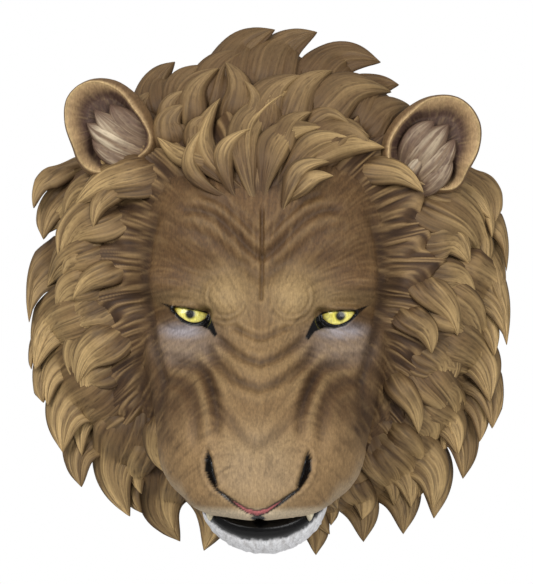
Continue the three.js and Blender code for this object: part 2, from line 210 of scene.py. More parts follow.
def ellipsoid(p, centre, radii, tilt=0, pitch=0):
    """Distance to an ellipsoid, negative inside."""
    x, d, z = [p[..., i] - centre[i] for i in range(3)]
    x, z = rotate(x, z, tilt)
    d, z = rotate(d, z, pitch)
    q = [x / radii[0], d / radii[1], z / radii[2]]
    near = np.sqrt(sum(v * v for v in q)) + 1e-9
    slope = np.sqrt(sum((v / r) ** 2 for v, r in zip(q, radii))) + 1e-9
    return near * (near - 1) / slope


def taper(p, a, b, ra, rb, wide):
    """Distance to a round-ended cone, widened in x."""
    a, b = np.array(a, float), np.array(b, float)
    u = p / np.array([wide, 1, 1]) - a
    v = b - a
    t = clamp((u @ v) / (v @ v))
    return np.linalg.norm(u - t[..., None] * v, axis=-1) - mix(ra, rb, t)


def blend(a, b, k):
    """Two forms joined with a fillet."""
    h = clamp(0.5 + 0.5 * (b - a) / k)
    return mix(b, a, h) - k * h * (1 - h)


SKULL = ((0, 38, 40), (99, 60, 86))
BRIDGE = ((0, 80, -24), (0, 148, -128), 30, 32, 1.25)  # ends, their radii, width for its depth
BRIDGE_FILLET = 26
DOME_FILLET = 14
HEAD = [  # centre, radii, fillet, turns
    ((0, 36, -30), (89, 62, 76), 24, {}),  # face
    ((34, 66, 36), (38, 34, 40), 26, {}),  # forehead
    ((22, 84, -7), (24, 27, 21), 14, {}),  # knob beside the frown
    ((60, 66, 3), (34, 31, 15), 13, {"tilt": 14}),  # hood over the eye
    ((58, 54, -44), (31, 38, 24), 16, {}),  # under the eye
    ((50, 64, -82), (32, 44, 40), 24, {}),  # cheek
    "bridge",
    ((37, 104, -112), (39, 54, 44), 20, {"pitch": -12}),  # upper lip
    ((24, 138, -143), (30, 36, 19), 12, {}),  # roll of the lip
    ((0, 146, -130), (38, 46, 24), 12, {"pitch": -35}),  # nose
]


def form(p):
    """Distance to the head's form, negative inside. The fillets depend on the order of its parts."""
    m = mirrored(p)
    f = ellipsoid(m, *SKULL)
    for row in HEAD:
        if row == "bridge":
            f = blend(f, taper(m, *BRIDGE), BRIDGE_FILLET)
        else:
            centre, radii, fillet, turns = row
            f = blend(f, ellipsoid(m, centre, radii, **turns), fillet)
    return blend(f, ellipsoid(p, *DOME), DOME_FILLET)


CAST_STEPS = 260
CAST_NEAR = 0.12  # the shortest step, and how near counts as met
CAST_LONG = 12  # the longest step
CAST_SHARE = 0.62  # share of the distance that a step goes


def cast(origin, direction, inside, start):
    """Where rays from origin last leave a form, coming in from outside: their lengths."""
    n = len(direction)
    r = np.full(n, float(start))
    active = np.arange(n)
    for _ in range(CAST_STEPS):
        f = inside(origin[active] + direction[active] * r[active, None])
        moving = (f > CAST_NEAR) & (r[active] > 1)
        active, f = active[moving], f[moving]
        if not len(active):
            break
        r[active] -= clamp(f * CAST_SHARE, CAST_NEAR, CAST_LONG)
    return r


def front_depth(x, z):
    """Depth of the form's front, 0 where there is none."""
    origin = np.stack([x.ravel(), np.zeros(x.size), z.ravel()], -1)
    direction = np.tile([0.0, 1.0, 0.0], (x.size, 1))
    r = cast(origin, direction, form, 215)
    return np.where(r > 1.5, r, 0).reshape(x.shape)


# The form's front as a map, for whatever is seated on it.
FIELD = Grid((-216, -232), (216, 232), 2.0)
FIELD_FRONT = front_depth(FIELD.a, FIELD.b)


def seat(x, z):
    """Depth of the form's front, read from its map."""
    return FIELD.read(FIELD_FRONT, x, z)


def soften(values, times):
    """Values of a grid, each evened out with its four neighbours."""
    for _ in range(times):
        p = np.pad(values, 1, mode="edge")
        values = (p[1:-1, 1:-1] * 2 + p[:-2, 1:-1] + p[2:, 1:-1] + p[1:-1, :-2] + p[1:-1, 2:]) / 6
    return values


SOFT_FRONT = soften(FIELD_FRONT, 10)
SLOPE_X, SLOPE_Z = np.gradient(SOFT_FRONT, FIELD.cell)


def lean_out(x, z):
    """Outward direction of the form's softened front."""
    n = np.stack([-FIELD.read(SLOPE_X, x, z), np.ones(len(x)), -FIELD.read(SLOPE_Z, x, z)], -1)
    return n / np.linalg.norm(n, axis=1, keepdims=True)


def dome_depth(x, z):
    """Depth of the dome alone, 0 outside it."""
    (_, _, zc), (wide, deep, high) = DOME
    return deep * np.sqrt(np.maximum(1 - (x / wide) ** 2 - ((z - zc) / high) ** 2, 0))


# Which way the fur lies on the face's right half: (x, z, run in x, run in z).
LAY = [
    (0, -118, 0.0, 1.0), (0, -80, 0.0, 1.0), (0, -40, 0.0, 1.0), (0, 10, 0.0, 1.0), (0, 60, 0.1, 1.0),
    (20, -60, 0.5, 0.9), (18, -90, 0.6, 0.8), (24, -5, 0.5, 0.8), (30, 40, 0.35, 0.95), (28, 85, 0.3, 0.95),
    (55, 8, 0.9, 0.25), (60, 35, 0.7, 0.7), (60, 70, 0.6, 0.8), (80, 40, 1.0, 0.2), (84, 70, 0.9, 0.3),
    (78, 0, 1.0, -0.1), (58, -40, 0.8, -0.5), (40, -52, 0.7, -0.4), (74, -60, 0.7, -0.8),
    (50, -75, 0.7, -0.8), (62, -95, 0.6, -0.9), (36, -112, 0.9, -0.5), (52, -125, 0.8, -0.7),
    (30, -145, 0.7, -0.8), (95, 20, 1.0, -0.6), (98, -20, 0.8, -0.9), (96, -60, 0.5, -1.0),
    (88, -95, 0.4, -1.0), (70, -125, 0.4, -1.0), (106, 60, 1.0, -0.4), (90, 100, 0.9, 0.4),
    (50, 110, 0.4, 0.9), (130, 0, 0.7, -0.9), (120, -80, 0.5, -1.0), (40, 150, 0.3, 1.0),
    (110, 120, 0.8, 0.6),
    (60, -160, 0.3, -1.0), (20, -175, 0.1, -1.0),
]
FUR = Grid((-170, -185), (170, 185), 0.6)


def fur_field():
    """The fur's unit run over the grid, blended from the places above and their mirror images."""
    total = np.zeros(FUR.shape + [2])
    weight = np.zeros(FUR.shape)
    for x, z, run_x, run_z in LAY:
        run = np.array([run_x, run_z]) / math.hypot(run_x, run_z)
        for side in (1, -1) if x else (1,):
            w = 1 / ((FUR.a - side * x) ** 2 + (FUR.b - z) ** 2 + 60) ** 1.6
            total[..., 0] += w * run[0] * side
            total[..., 1] += w * run[1]
            weight += w
    run = total / weight[..., None]
    return run / (np.linalg.norm(run, axis=-1, keepdims=True) + 1e-9)


FUR_RUN = fur_field()


def strokes(seed, coarse, reach):
    """Noise drawn out along the fur: stroke heights of about -1 to 1."""
    raw = noise(FUR.a / coarse, FUR.b / coarse, seed)
    total = raw.copy()
    for way in (1, -1):
        a, b = FUR.a.copy(), FUR.b.copy()
        for _ in range(reach):
            a += way * FUR.read(FUR_RUN[..., 0], a, b) * FUR.cell * 1.5
            b += way * FUR.read(FUR_RUN[..., 1], a, b) * FUR.cell * 1.5
            total += FUR.read(raw, a, b)
    total -= total.mean()
    return total / (2.2 * total.std())


FINE_FUR = strokes(3, 1.1, 7)
LONG_FUR = strokes(5, 1.6, 16)

# The face: its furrows, nose and eyes.
FURROWS = [  # line on one side, half width, depth, height of the roll beside it
    ([(59, 60), (45, 59), (32, 53), (19, 41), (8, 30), (1, 25)], 3.2, 2.4, 0.7),
    ([(44, 71), (31, 66), (21, 58), (11, 48.6), (4, 40)], 2.6, 1.5, 0.5),
    ([(64, 46), (50, 44), (36, 37), (20, 24), (8, 14), (1, 8)], 3.6, 1.1, 0.4),
    ([(20, -26), (12, -30), (4, -33.5), (0, -34)], 2.2, 1.7, 0.9),
    ([(33, -33), (24, -40), (12, -48), (0, -52)], 2.8, 2.6, 1.1),
    ([(40, -41), (33, -52), (17, -64), (0, -70)], 3.2, 2.3, 1.0),
    ([(40, -56), (33, -74), (24, -90), (12, -103), (0, -110)], 4.0, 1.7, 0.7),
    ([(68, -52), (55, -53), (44, -57), (36, -70), (31, -88), (29, -102)], 3.4, 2.6, 1.1),
    ([(74, -66), (60, -68), (50, -76), (46, -92), (45, -108)], 3.6, 1.8, 0.6),
    ([(78, -46), (64, -47), (50, -47)], 2.4, 1.1, 0.4),
]
CARVED_DEPTH = 0.95  # shares of the furrows' depths and rolls that are carved
CARVED_ROLL = 0.75
# Where the mane meets the face: line, half width, depth, roll.
VALLEY = ([(78, 58), (85, 40), (88, 21), (87, -7), (83, -29), (77, -52), (73, -70), (76, -96)], 3.4, 3.2, 0.2)
FROWN = ([(0, 62), (0, 30), (0, -6)], 1.2, 1.7, 0.5)
NOSTRIL = np.array([(36, -113.8), (38.6, -120.5), (37.9, -128.5), (34, -136.6), (29.8, -141.2), (28.4, -138),
                    (31.2, -128.5), (33.6, -119)])
NOSE_EDGE = [(29, -140.5), (18, -147.5), (8, -153.4), (0, -155.6)]  # the nose's lower edge
LIP_EDGE = [(29, -141), (17, -150.3), (7, -157.2), (0, -159.8)]  # the upper lips' edge below it
PAD = ((0.4, -161.6), (5.0, 2.1))  # the black pad between the lips


def crease(x, z, line, half, deep, roll):
    """Height of a furrow: a soft crease with a rolled ridge on both sides, fading out at its ends."""
    d, along = line_distance(x, z, line)
    # A furrow that ends in the middle meets its mirror image, so it fades less there.
    past_end = 0.12 if abs(line[-1][0]) < 2 else 0.05
    fade = smooth(0, 0.18, along + 0.06) * smooth(0, 0.12, 1 - along + past_end)
    return fade * (roll * bell(d - 2.1 * half, 1.1 * half) - deep * bell(d, half))


def nose_lines(x, z):
    """Distance outside the nostrils, distances to the nose's edge and the lips', and outside the pad."""
    ax = np.abs(x)
    nostril = outline_distance(ax, z, NOSTRIL)
    edge, _ = line_distance(ax, z, NOSE_EDGE)
    lip, _ = line_distance(ax, z, LIP_EDGE)
    (px, pz), (rx, rz) = PAD
    return nostril, edge, lip, ellipse_edge(x - px, z - pz, rx, rz)


def folds(x, z):
    """Height of the face's folds."""
    ax = np.abs(x)
    h = crease(ax, z, *FROWN) + knobs(x, z)
    for line, half, deep, roll in FURROWS:
        h = h + crease(ax, z, curve(line, 4), half, deep * CARVED_DEPTH, roll * CARVED_ROLL)
    return h + crease(ax, z, curve(VALLEY[0], 4), *VALLEY[1:])


HAIRLINE = [((42, 22), (56, 78)), ((0, -30), (98, 112))]  # ellipses of its top and sides: middle, radii


def hairline(x, z):
    """Distance outside the heart-shaped hairline, negative on the face."""
    top, sides = (ellipse_edge(np.abs(x) - cx, z - cz, rx, rz) for (cx, cz), (rx, rz) in HAIRLINE)
    return np.minimum(top, sides)


# The eyes on the side of positive x: the opening between the lids, the black line round it, and the pupil.
EYES = {
    1: {"top": [(43.4, -17.2), (50, -15.4), (58, -15.0), (67.4, -15.2)],
        "low": [(67.6, -16.4), (63, -21.4), (55.5, -24.6), (49, -23.6), (44.5, -20.2)],
        "liner": [(78, -10.4), (68, -13.8), (57, -13.9), (44, -15.4), (38, -20.5), (32, -33.5), (34, -36),
                  (38.5, -29.8), (45, -27.2), (53, -27.6), (61, -25.6), (67, -20.6), (72, -15.2)],
        "pupil": (57.2, -18.4), "knob": 22.1},
    -1: {"top": [(40.6, -16.6), (50, -14.0), (58, -12.9), (64.8, -12.2)],
         "low": [(65, -13.4), (61, -18.4), (54, -22.6), (47, -22.8), (42, -20.0)],
         "liner": [(76.5, -8.8), (66, -10.8), (55, -12.2), (41, -15.0), (36.5, -21), (32.4, -31.5),
                   (34.4, -33.8), (38.5, -28.4), (45, -25.8), (53, -25.6), (60, -22.8), (65, -17.4),
                   (70, -12)],
         "pupil": (53.2, -16.9), "knob": 26.1},
}
BALL = ((54, 74, -18), (20, 20, 17.5))
EYE_REACH = 30  # how far from the ball's middle its outlines are worked out


def ball_depth(ax, z):
    """Depth of the eyeball's front, carried on behind the lids as a slope."""
    (cx, cd, cz), (rx, rd, rz) = BALL
    q = ((ax - cx) / rx) ** 2 + ((z - cz) / rz) ** 2
    return np.where(q < 0.7, cd + rd * np.sqrt(np.maximum(1 - q, 0)), cd + rd * (0.548 - (q - 0.7) * 0.9))


def round_eye(x, z, outline_of):
    """Distance outside one of the eyes' outlines, worked out near them alone."""
    out = np.full(np.shape(x), 99.0)
    for side, eye in EYES.items():
        near = (np.abs(x * side - BALL[0][0]) < EYE_REACH) & (np.abs(z - BALL[0][2]) < EYE_REACH)
        out[near] = outline_distance(x[near] * side, z[near], outline_of(eye))
    return out


def lids(x, z):
    """Distance outside the openings between the lids."""
    return round_eye(x, z, lambda eye: np.concatenate([curve(eye["top"]), curve(eye["low"])]))


def eye_line(x, z):
    """Distance outside the black lines round the eyes."""
    return round_eye(x, z, lambda eye: np.array(eye["liner"], float))


def lid_skin(x, z, eye):
    """Depth of the skin round the eyes, and how far it stands for the form's own: 0 to 1."""
    ax = np.abs(x)
    black = smooth(1.0, -1.0, eye_line(x, z))
    over = smooth(-16.5, -13, z + 0.12 * (ax - 54))
    inner = smooth(43, 37, ax)
    low = 1.7 * np.tanh(eye / 0.8) * (1 - 0.45 * black) + 0.28 * np.maximum(eye, 0)
    high = 3.2 * np.tanh(eye / 0.7) + 1.15 * np.maximum(eye, 0)
    skin = ball_depth(ax, z) + mix(low, high, over)
    reach = mix(mix(8.5, 7.0, over), 5.5, inner)
    return skin, smooth(reach, reach * 0.3, eye)


def knobs(x, z):
    """Height of the ringed knobs beside the frown."""
    cx = np.where(x < 0, EYES[-1]["knob"], EYES[1]["knob"])
    a, b = np.abs(x) - cx, z + 4.4
    r = np.hypot(a, b * 0.96)
    turn = np.arctan2(b, a)  # 0 outward, a right angle up
    ring = smooth(-0.9, 0.3, -np.sin(turn) + 0.35 * np.cos(turn))
    low = smooth(0.1, 0.8, -np.sin(turn))
    h = 1.8 * smooth(20, 4, r)
    h = h + ring * 0.6 * (bell(r - 14.6, 1.2) - bell(r - 12.6, 1.0))
    return h + low * 0.5 * (bell(r - 18.6, 1.2) - bell(r - 16.9, 0.9))


def fur_height(x, z, d):
    """Height of the fur's strokes on the face and round it."""
    edge = hairline(x, z)
    fringe = smooth(-14, 6, edge) * smooth(-122, -96, z)
    muzzle = smooth(150, 165, d)
    nose = smooth(24, 12, np.abs(x)) * smooth(-112, -122, z)
    fine = FUR.read(FINE_FUR, x, z) * mix(0.2, 0.12, fringe)
    long = FUR.read(LONG_FUR, x, z) * mix(0.1, 0.62, fringe)
    return (fine + long) * (1 - 0.5 * muzzle) * (1 - nose) * (1 - 0.8 * smooth(6, 2, lids(x, z)))


# Paint.
def colour(r, g, b):
    """A linear colour from one given as it looks, 0 to 255."""
    c = np.array([r, g, b]) / 255
    return np.where(c < 0.04045, c / 12.92, ((c + 0.055) / 1.055) ** 2.4)


# Of these, "deep", "lock_dark" and "ear_dark" are also laid as painted shade, "lock_light" and "ear_light" as
# painted highlight.
PAINT = {name: colour(*rgb) for name, rgb in {
    "forehead": (104, 77, 47), "forehead_dark": (86, 62, 39), "knob": (150, 125, 86),
    "bridge": (128, 101, 67), "nose": (154, 129, 95), "muzzle": (146, 117, 80), "cheek": (98, 73, 47),
    "violet": (138, 120, 104), "blue": (176, 175, 186), "cream": (216, 198, 168), "pink": (196, 112, 112),
    "fringe": (104, 78, 50), "fringe_light": (158, 129, 88), "deep": (56, 39, 26),
    "lock": (148, 121, 80), "lock_light": (204, 172, 119), "lock_dark": (90, 67, 43),
    "ear_rim": (172, 142, 104), "ear_light": (200, 172, 122), "ear_dark": (92, 70, 60),
    "tuft": (142, 119, 92), "tuft_light": (216, 200, 172),
    "chin": (250, 250, 252), "chin_dark": (208, 205, 204), "black": (12, 11, 12), "tooth": (226, 216, 188),
    "yellow": (236, 224, 96), "yellow_edge": (150, 124, 30), "yellow_pale": (250, 244, 170),
    "resin": (196, 184, 162),
}.items()}


def layer(base, name, amount):
    """Paint of a name laid over base by an amount from 0 to 1."""
    return mix(base, PAINT[name], np.asarray(amount)[..., None])


def round_patch(x, z, cx, cz, rx, rz, soft=0.5):
    """1 in the middle of a soft oval patch, 0 outside it."""
    q = np.sqrt(((x - cx) / rx) ** 2 + ((z - cz) / rz) ** 2)
    return smooth(1 + soft, 1 - soft, q)


def coats(name, shape, *layers):
    """A first coat of the paint of a name, with layers (name, amount) over it."""
    c = np.broadcast_to(PAINT[name], (*shape, 3))
    for above, amount in layers:
        c = layer(c, above, amount)
    return c


def face_paint(x, z, facing):
    """Colours and gloss of the face at places of its plane. facing is how far forward its skin faces."""
    ax = np.abs(x)
    edge = hairline(x, z)
    mottle = noise(x / 9, z / 7, 21) * 0.5 + noise(x / 3.5, z / 3, 22) * 0.5
    fringe = smooth(-16, -2, edge) * smooth(-122, -96, z)
    height = folds(x, z)
    fur = FUR.read(FINE_FUR, x, z) * 0.6 + FUR.read(LONG_FUR, x, z) * mix(0.4, 0.9, fringe)
    # Where the lower muzzle's skin turns sideways it is painted cream as painted highlight.
    side = smooth(0.5, 0.2, facing) * smooth(-92, -108, z)
    lip = smooth(-152, -158, z) * smooth(66, 50, ax)
    pink, black = nose_and_liner(x, z)
    c = coats(
        "forehead", x.shape,
        ("forehead_dark", clamp(0.3 + 0.5 * mottle)),
        ("cheek", smooth(-30, -50, z)),
        ("muzzle", smooth(-84, -112, z)),
        ("bridge", round_patch(x, z, 0, -66, 27, 62) * 0.95),
        ("nose", round_patch(x, z, 0, -128, 32, 30) * 0.95),
        ("violet", round_patch(ax, z, 57, -38, 25, 15, 0.7) * 0.75),
        ("blue", round_patch(ax, z, 58, -29, 15, 5, 0.8) * 0.5),
        ("knob", round_patch(ax, z, 26, -3, 22, 20, 0.8) * 0.75),
        ("knob", round_patch(ax, z, 58, -6, 24, 7, 0.7) * 0.5),
        # the mane's darker brown at the hairline, and over it painted shade in the valley where the face
        # meets the mane
        ("fringe", fringe * 0.85),
        ("deep", fringe * 0.45),
        # painted shade in the folds' creases and painted highlight on their rolls
        ("deep", clamp(-height * 0.25)),
        ("lock_light", clamp(height * 0.13)),
        ("deep", clamp(-fur * mix(0.48, 0.8, fringe))),
        ("fringe_light", clamp(fur * mix(0.28, 0.6, fringe))),
        # cream: the upper lips' edge in its own colour, and the muzzle's lower sides as painted highlight
        ("cream", np.maximum(side * 0.3 * smooth(-112, -140, z), lip * 0.75)),
        ("pink", pink),
        ("black", black),
    )
    return c, black


def nose_and_liner(x, z):
    """Amounts of the pink under the nose, and of the black round the eyes and on the nose."""
    ax = np.abs(x)
    nostril, edge, lip, pad = nose_lines(x, z)
    low = smooth(6, 20, ax)
    black = np.max([
        smooth(0.45, -0.35, eye_line(x, z)),
        smooth(0.5, -0.5, nostril),
        smooth(1.0, 0.3, edge) * 0.85,
        smooth(mix(0.9, 1.6, low), mix(0.2, 0.7, low), lip),
        smooth(0.5, -0.4, pad),
    ], 0)
    upper = np.interp(ax, *np.array(NOSE_EDGE[::-1]).T)
    lower = np.interp(ax, *np.array(LIP_EDGE[::-1]).T)
    return smooth(0, 0.7, upper - z) * smooth(0, 0.7, z - lower) * smooth(19, 14, ax), black


# Meshes.
def grid_faces(rows, columns, closed=False):
    """Four-sided faces between the points of a grid, its columns closed into a ring or not."""
    index = np.arange(rows * columns).reshape(rows, columns)
    if closed:
        index = np.concatenate([index, index[:, :1]], 1)
    return np.stack([index[:-1, :-1], index[1:, :-1], index[1:, 1:], index[:-1, 1:]], -1).reshape(-1, 4)


def mesh_piece(name, points, quads, triangles=None):
    """A mesh object from points in the carving's axes."""
    triangles = np.zeros((0, 3), int) if triangles is None else np.asarray(triangles)
    mesh = bpy.data.meshes.new(name)
    mesh.vertices.add(len(points))
    mesh.vertices.foreach_set("co", place(points).astype(np.float32).ravel())
    loops = np.concatenate([quads.ravel(), triangles.ravel()])
    sizes = np.concatenate([np.full(len(quads), 4), np.full(len(triangles), 3)])
    mesh.loops.add(len(loops))
    mesh.loops.foreach_set("vertex_index", loops.astype(np.int32))
    mesh.polygons.add(len(sizes))
    mesh.polygons.foreach_set("loop_start", np.concatenate([[0], np.cumsum(sizes)[:-1]]).astype(np.int32))
    mesh.polygons.foreach_set("loop_total", sizes.astype(np.int32))
    mesh.update(calc_edges=True)
    mesh.validate()
    piece = bpy.data.objects.new(name, mesh)
    bpy.context.scene.collection.objects.link(piece)
    return piece


def carve_points(piece):
    """A piece's points, back in the carving's axes."""
    co = np.zeros(len(piece.data.vertices) * 3, np.float32)
    piece.data.vertices.foreach_get("co", co)
    co = co.reshape(-1, 3).astype(float)
    return np.stack([co[:, 0] / UNIT, -co[:, 1] / UNIT, (co[:, 2] - CAD_LOW.z) / UNIT + DRAWN_LOW], -1)


def fan(tip, ring, flip=False):
    """Triangles between one point and each side of a closed ring of points."""
    ends = (np.roll(ring, -1), ring) if flip else (ring, np.roll(ring, -1))
    return np.stack([np.full(len(ring), tip), *ends], -1)


def round_net(phi, turns):
    """Unit directions on rings: phi is the angle off straight forward, and each ring has turns places."""
    theta = 2 * math.pi * np.arange(turns) / turns
    f, t = np.meshgrid(phi, theta, indexing="ij")
    return np.stack([np.sin(f) * np.sin(t), np.cos(f), np.sin(f) * np.cos(t)], -1)


SKIN_HAIR = np.array([0.8, 0.3, 0.3])  # how a piece with no hair of its own runs its paint's noise, per mm


def give(mesh, name, kind, field, values):
    """Gives each point of a mesh a value under a name."""
    mesh.attributes.new(name, kind, "POINT").data.foreach_set(field, np.asarray(values, np.float32).ravel())


def finish_piece(piece, colours, gloss, hair=None, material=None):
    """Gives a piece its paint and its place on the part."""
    mesh = piece.data
    mesh.shade_smooth()
    opaque = np.ones((len(colours), 1))
    give(mesh, "paint", "FLOAT_COLOR", "color", np.concatenate([clamp(colours), opaque], 1))
    give(mesh, "gloss", "FLOAT", "value", gloss)
    give(mesh, "hair", "FLOAT_VECTOR", "vector", carve_points(piece) * SKIN_HAIR if hair is None else hair)
    mesh.materials.clear()
    mesh.materials.append(material or RESIN)
    mesh.polygons.foreach_set("material_index", np.zeros(len(mesh.polygons), np.int32))
    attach(piece, "root")
    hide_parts(NODE)
    return piece


# Materials.
def node(tree, kind, links=None, values=None, **settings):
    """A shader node with its settings, values for its inputs, and links to them from other nodes' outputs."""
    made = tree.nodes.new("ShaderNode" + kind)
    for key, value in settings.items():
        setattr(made, key, value)
    for key, value in (values or {}).items():
        made.inputs[key].default_value = value
    for key, source in (links or {}).items():
        tree.links.new(source, made.inputs[key])
    return made


def ranged(tree, source, low, high, to_low, to_high):
    """A value carried from one range to another, held at its ends."""
    spans = {"From Min": low, "From Max": high, "To Min": to_low, "To Max": to_high}
    return node(tree, "MapRange", {"Value": source}, spans).outputs["Result"]


def painted(name, coat):
    """Painted resin: its colours, gloss and hair run come from the mesh, broken up by fine noise."""
    material = bpy.data.materials.new(name)
    material.use_nodes = True
    tree = material.node_tree
    tree.nodes.clear()

    paint = node(tree, "Attribute", attribute_name="paint").outputs["Color"]
    gloss = node(tree, "Attribute", attribute_name="gloss").outputs["Fac"]
    hair = node(tree, "Attribute", attribute_name="hair").outputs["Vector"]
    at = node(tree, "TexCoord").outputs["Object"]
    strand_grain = {"Scale": 1.0, "Detail": 3.0, "Roughness": 0.6}
    speck_grain = {"Scale": 420.0, "Detail": 2.0, "Roughness": 0.6}
    strand = node(tree, "TexNoise", {"Vector": hair}, strand_grain).outputs["Fac"]
    speck = node(tree, "TexNoise", {"Vector": at}, speck_grain).outputs["Fac"]

    tones = {0: ranged(tree, strand, 0.3, 0.7, 0.78, 1.2), 1: ranged(tree, speck, 0.3, 0.7, 0.92, 1.08)}
    tone = node(tree, "Math", tones, operation="MULTIPLY").outputs["Value"]
    shade = node(tree, "VectorMath", {0: paint, "Scale": tone}, operation="SCALE").outputs["Vector"]
    roughs = {0: ranged(tree, gloss, 0.0, 1.0, 0.58, 0.2), 1: ranged(tree, speck, 0.2, 0.8, -0.05, 0.07)}
    rough = node(tree, "Math", roughs, operation="ADD").outputs["Value"]
    strand_bump = {"Strength": 0.35, "Distance": 0.0007}
    speck_bump = {"Strength": 0.15, "Distance": 0.0003}
    bump = node(tree, "Bump", {"Height": strand}, strand_bump).outputs["Normal"]
    bump = node(tree, "Bump", {"Height": speck, "Normal": bump}, speck_bump).outputs["Normal"]

    coating = {"IOR": 1.45, "Specular IOR Level": 0.32, "Coat Weight": coat, "Coat Roughness": 0.12}
    shader = node(tree, "BsdfPrincipled", {"Base Color": shade, "Roughness": rough, "Normal": bump}, coating)
    node(tree, "OutputMaterial", {"Surface": shader.outputs["BSDF"]})
    return material


RESIN = painted("painted_resin", 0.0)
EYE_ENAMEL = painted("eye_enamel", 0.6)

# The face and the casting under the mane.
BEHIND = -160.0  # depth of the point that the rays through the wall leave from
FACE_PATCH = ((0, -30), (84, 96))  # the face's share of the wall, middle and radii
BAND_DROP = 3  # how far the face sinks where the band of hair covers it
NOSTRIL_DEEP = 5.5  # how far the nostrils are sunk
FACE_EDGE_SUNK = 5  # how far the face's edge goes under the hair


def wall_points(us, vs, centre, radii):
    """An even net of points over an oval on the wall."""
    a, b = np.meshgrid(us, vs, indexing="ij")
    x = centre[0] + radii[0] * a * np.sqrt(1 - b * b / 2)
    z = centre[1] + radii[1] * b * np.sqrt(1 - a * a / 2)
    return a, b, x, z


def ray_points(x, z):
    """Points of the form seen through places of the wall, and the way there."""
    origin = np.tile([0.0, BEHIND, RAYS_FROM_Z], (x.size, 1))
    direction = np.stack([x.ravel(), np.full(x.size, -BEHIND), z.ravel() - RAYS_FROM_Z], -1)
    direction /= np.linalg.norm(direction, axis=1, keepdims=True)
    points = origin + direction * cast(origin, direction, form, 390)[:, None]
    return points.reshape(*x.shape, 3), direction.reshape(*x.shape, 3)


def grid_normals(p):
    """Outward unit normals of a grid of points."""
    n = np.cross(np.gradient(p, axis=0), np.gradient(p, axis=1))
    n *= np.sign(n[..., 1].mean())
    return n / (np.linalg.norm(n, axis=-1, keepdims=True) + 1e-9)


# Stops of the face's net: place across or up the patch, and the spacing there.
FACE_COLUMNS = [(-1, 0.012), (-0.8, 0.0068), (-0.3, 0.0068), (0, 0.006),
                (0.3, 0.0068), (0.8, 0.0068), (1, 0.012)]
FACE_ROWS = [(-1, 0.012), (-0.8, 0.0058), (-0.3, 0.0056), (0.2, 0.0062), (0.7, 0.0075), (1, 0.012)]


def make_face():
    """The face inside the mane, with its folds, fur, eyelids, nose and upper lips."""
    a, b, xw, zw = wall_points(spaced(FACE_COLUMNS), spaced(FACE_ROWS), *FACE_PATCH)
    p, direction = ray_points(xw, zw)
    normal = grid_normals(p)
    x, d, z = p[..., 0], p[..., 1], p[..., 2]
    eye = lids(x, z)
    height = folds(x, z) * smooth(3, 12, eye) + fur_height(x, z, d)
    height -= BAND_DROP * smooth(-7, 2, hairline(x, z)) * smooth(-75, -35, z)
    nostril, nose_edge, lip, pad = nose_lines(x, z)
    height -= NOSTRIL_DEEP * smooth(1.2, -2.6, nostril) - 1.1 * bell(nostril - 2.6, 1.6)
    height -= 0.7 * bell(nose_edge, 1.0) + 1.7 * bell(lip, 1.3) + 1.5 * smooth(1.5, -1, pad)
    p = p + normal * height[..., None]
    # The skin round an eye lies on the eyeball, with a lid's thickness, and dips behind it in the opening.
    skin, near = lid_skin(x, z, eye)
    p[..., 1] = mix(p[..., 1], skin, near)
    covered = ball_depth(np.abs(x), z) + 0.9
    p[..., 1] = np.where((eye > 0.6) & (eye < 16), np.maximum(p[..., 1], covered), p[..., 1])
    p[..., 1] = np.minimum(p[..., 1], -CAD_LOW.y / UNIT)
    edge = np.maximum(np.abs(a), np.abs(b))
    p = p - direction * (FACE_EDGE_SUNK * smooth(0.965, 1.0, edge))[..., None]
    q = p.reshape(-1, 3)
    piece = mesh_piece("face", q, grid_faces(*a.shape))
    c, gloss = face_paint(q[:, 0], q[:, 2], normal[..., 1].reshape(-1))
    return finish_piece(piece, c, gloss)


# Room kept for the eyes and the mouth in front of the hollow: centre, radii and the turn of each.
SOCKET = ((52, 106, -20), (30, 30, 17), 22)
MOUTH = ((0, 160, -168), (47, 50, 12), 20)


def hollow_form(p):
    """The hollow: the form a wall's thickness in, inside the rim, and clear of the eyes and the mouth."""
    centre, (wide, deep, high) = DOME
    bowl = ellipsoid(p, centre, (wide - RIM, deep * 3.5, high - RIM))
    m = mirrored(p)
    eyes = WALL - ellipsoid(m, SOCKET[0], SOCKET[1], tilt=SOCKET[2])
    mouth = WALL - ellipsoid(m, MOUTH[0], MOUTH[1], pitch=MOUTH[2])
    return np.max([form(p) + WALL, bowl, p[..., 2] - HOLLOW_TOP, eyes, mouth], 0)


CUTTER_BACK = -6  # how far the hollow's cutter reaches behind the wall


def make_hollow():
    """The hollow's cutter, seen from one point of the wall."""
    turns, steps = 72, 34
    direction = round_net((math.pi / 2) * np.arange(1, steps + 1) / steps, turns)
    direction[-1, :, 1] = 0
    direction = direction.reshape(-1, 3)
    origin = np.tile([0.0, 0.0, RAYS_FROM_Z], (len(direction), 1))
    r = cast(origin, direction, hollow_form, 250)
    rings = (origin + direction * r[:, None]).reshape(steps, turns, 3)
    below = rings[-1:].copy()
    below[..., 1] = CUTTER_BACK
    rings = np.concatenate([rings, below])
    front = cast(origin[:1], np.array([[0.0, 1.0, 0.0]]), hollow_form, 250)[0]
    ends = [[0, front, RAYS_FROM_Z], [0, CUTTER_BACK, RAYS_FROM_Z]]
    points = np.concatenate([rings.reshape(-1, 3), ends])
    k = np.arange(turns)
    fans = np.concatenate([fan(len(points) - 2, k), fan(len(points) - 1, steps * turns + k, flip=True)])
    return mesh_piece("hollow_cutter", points, grid_faces(steps + 1, turns, closed=True), fans)


KEYHOLE = {"z": 115, "head": 7.0, "slot": 3.25, "rise": 15, "lip": 4, "deep": 13}


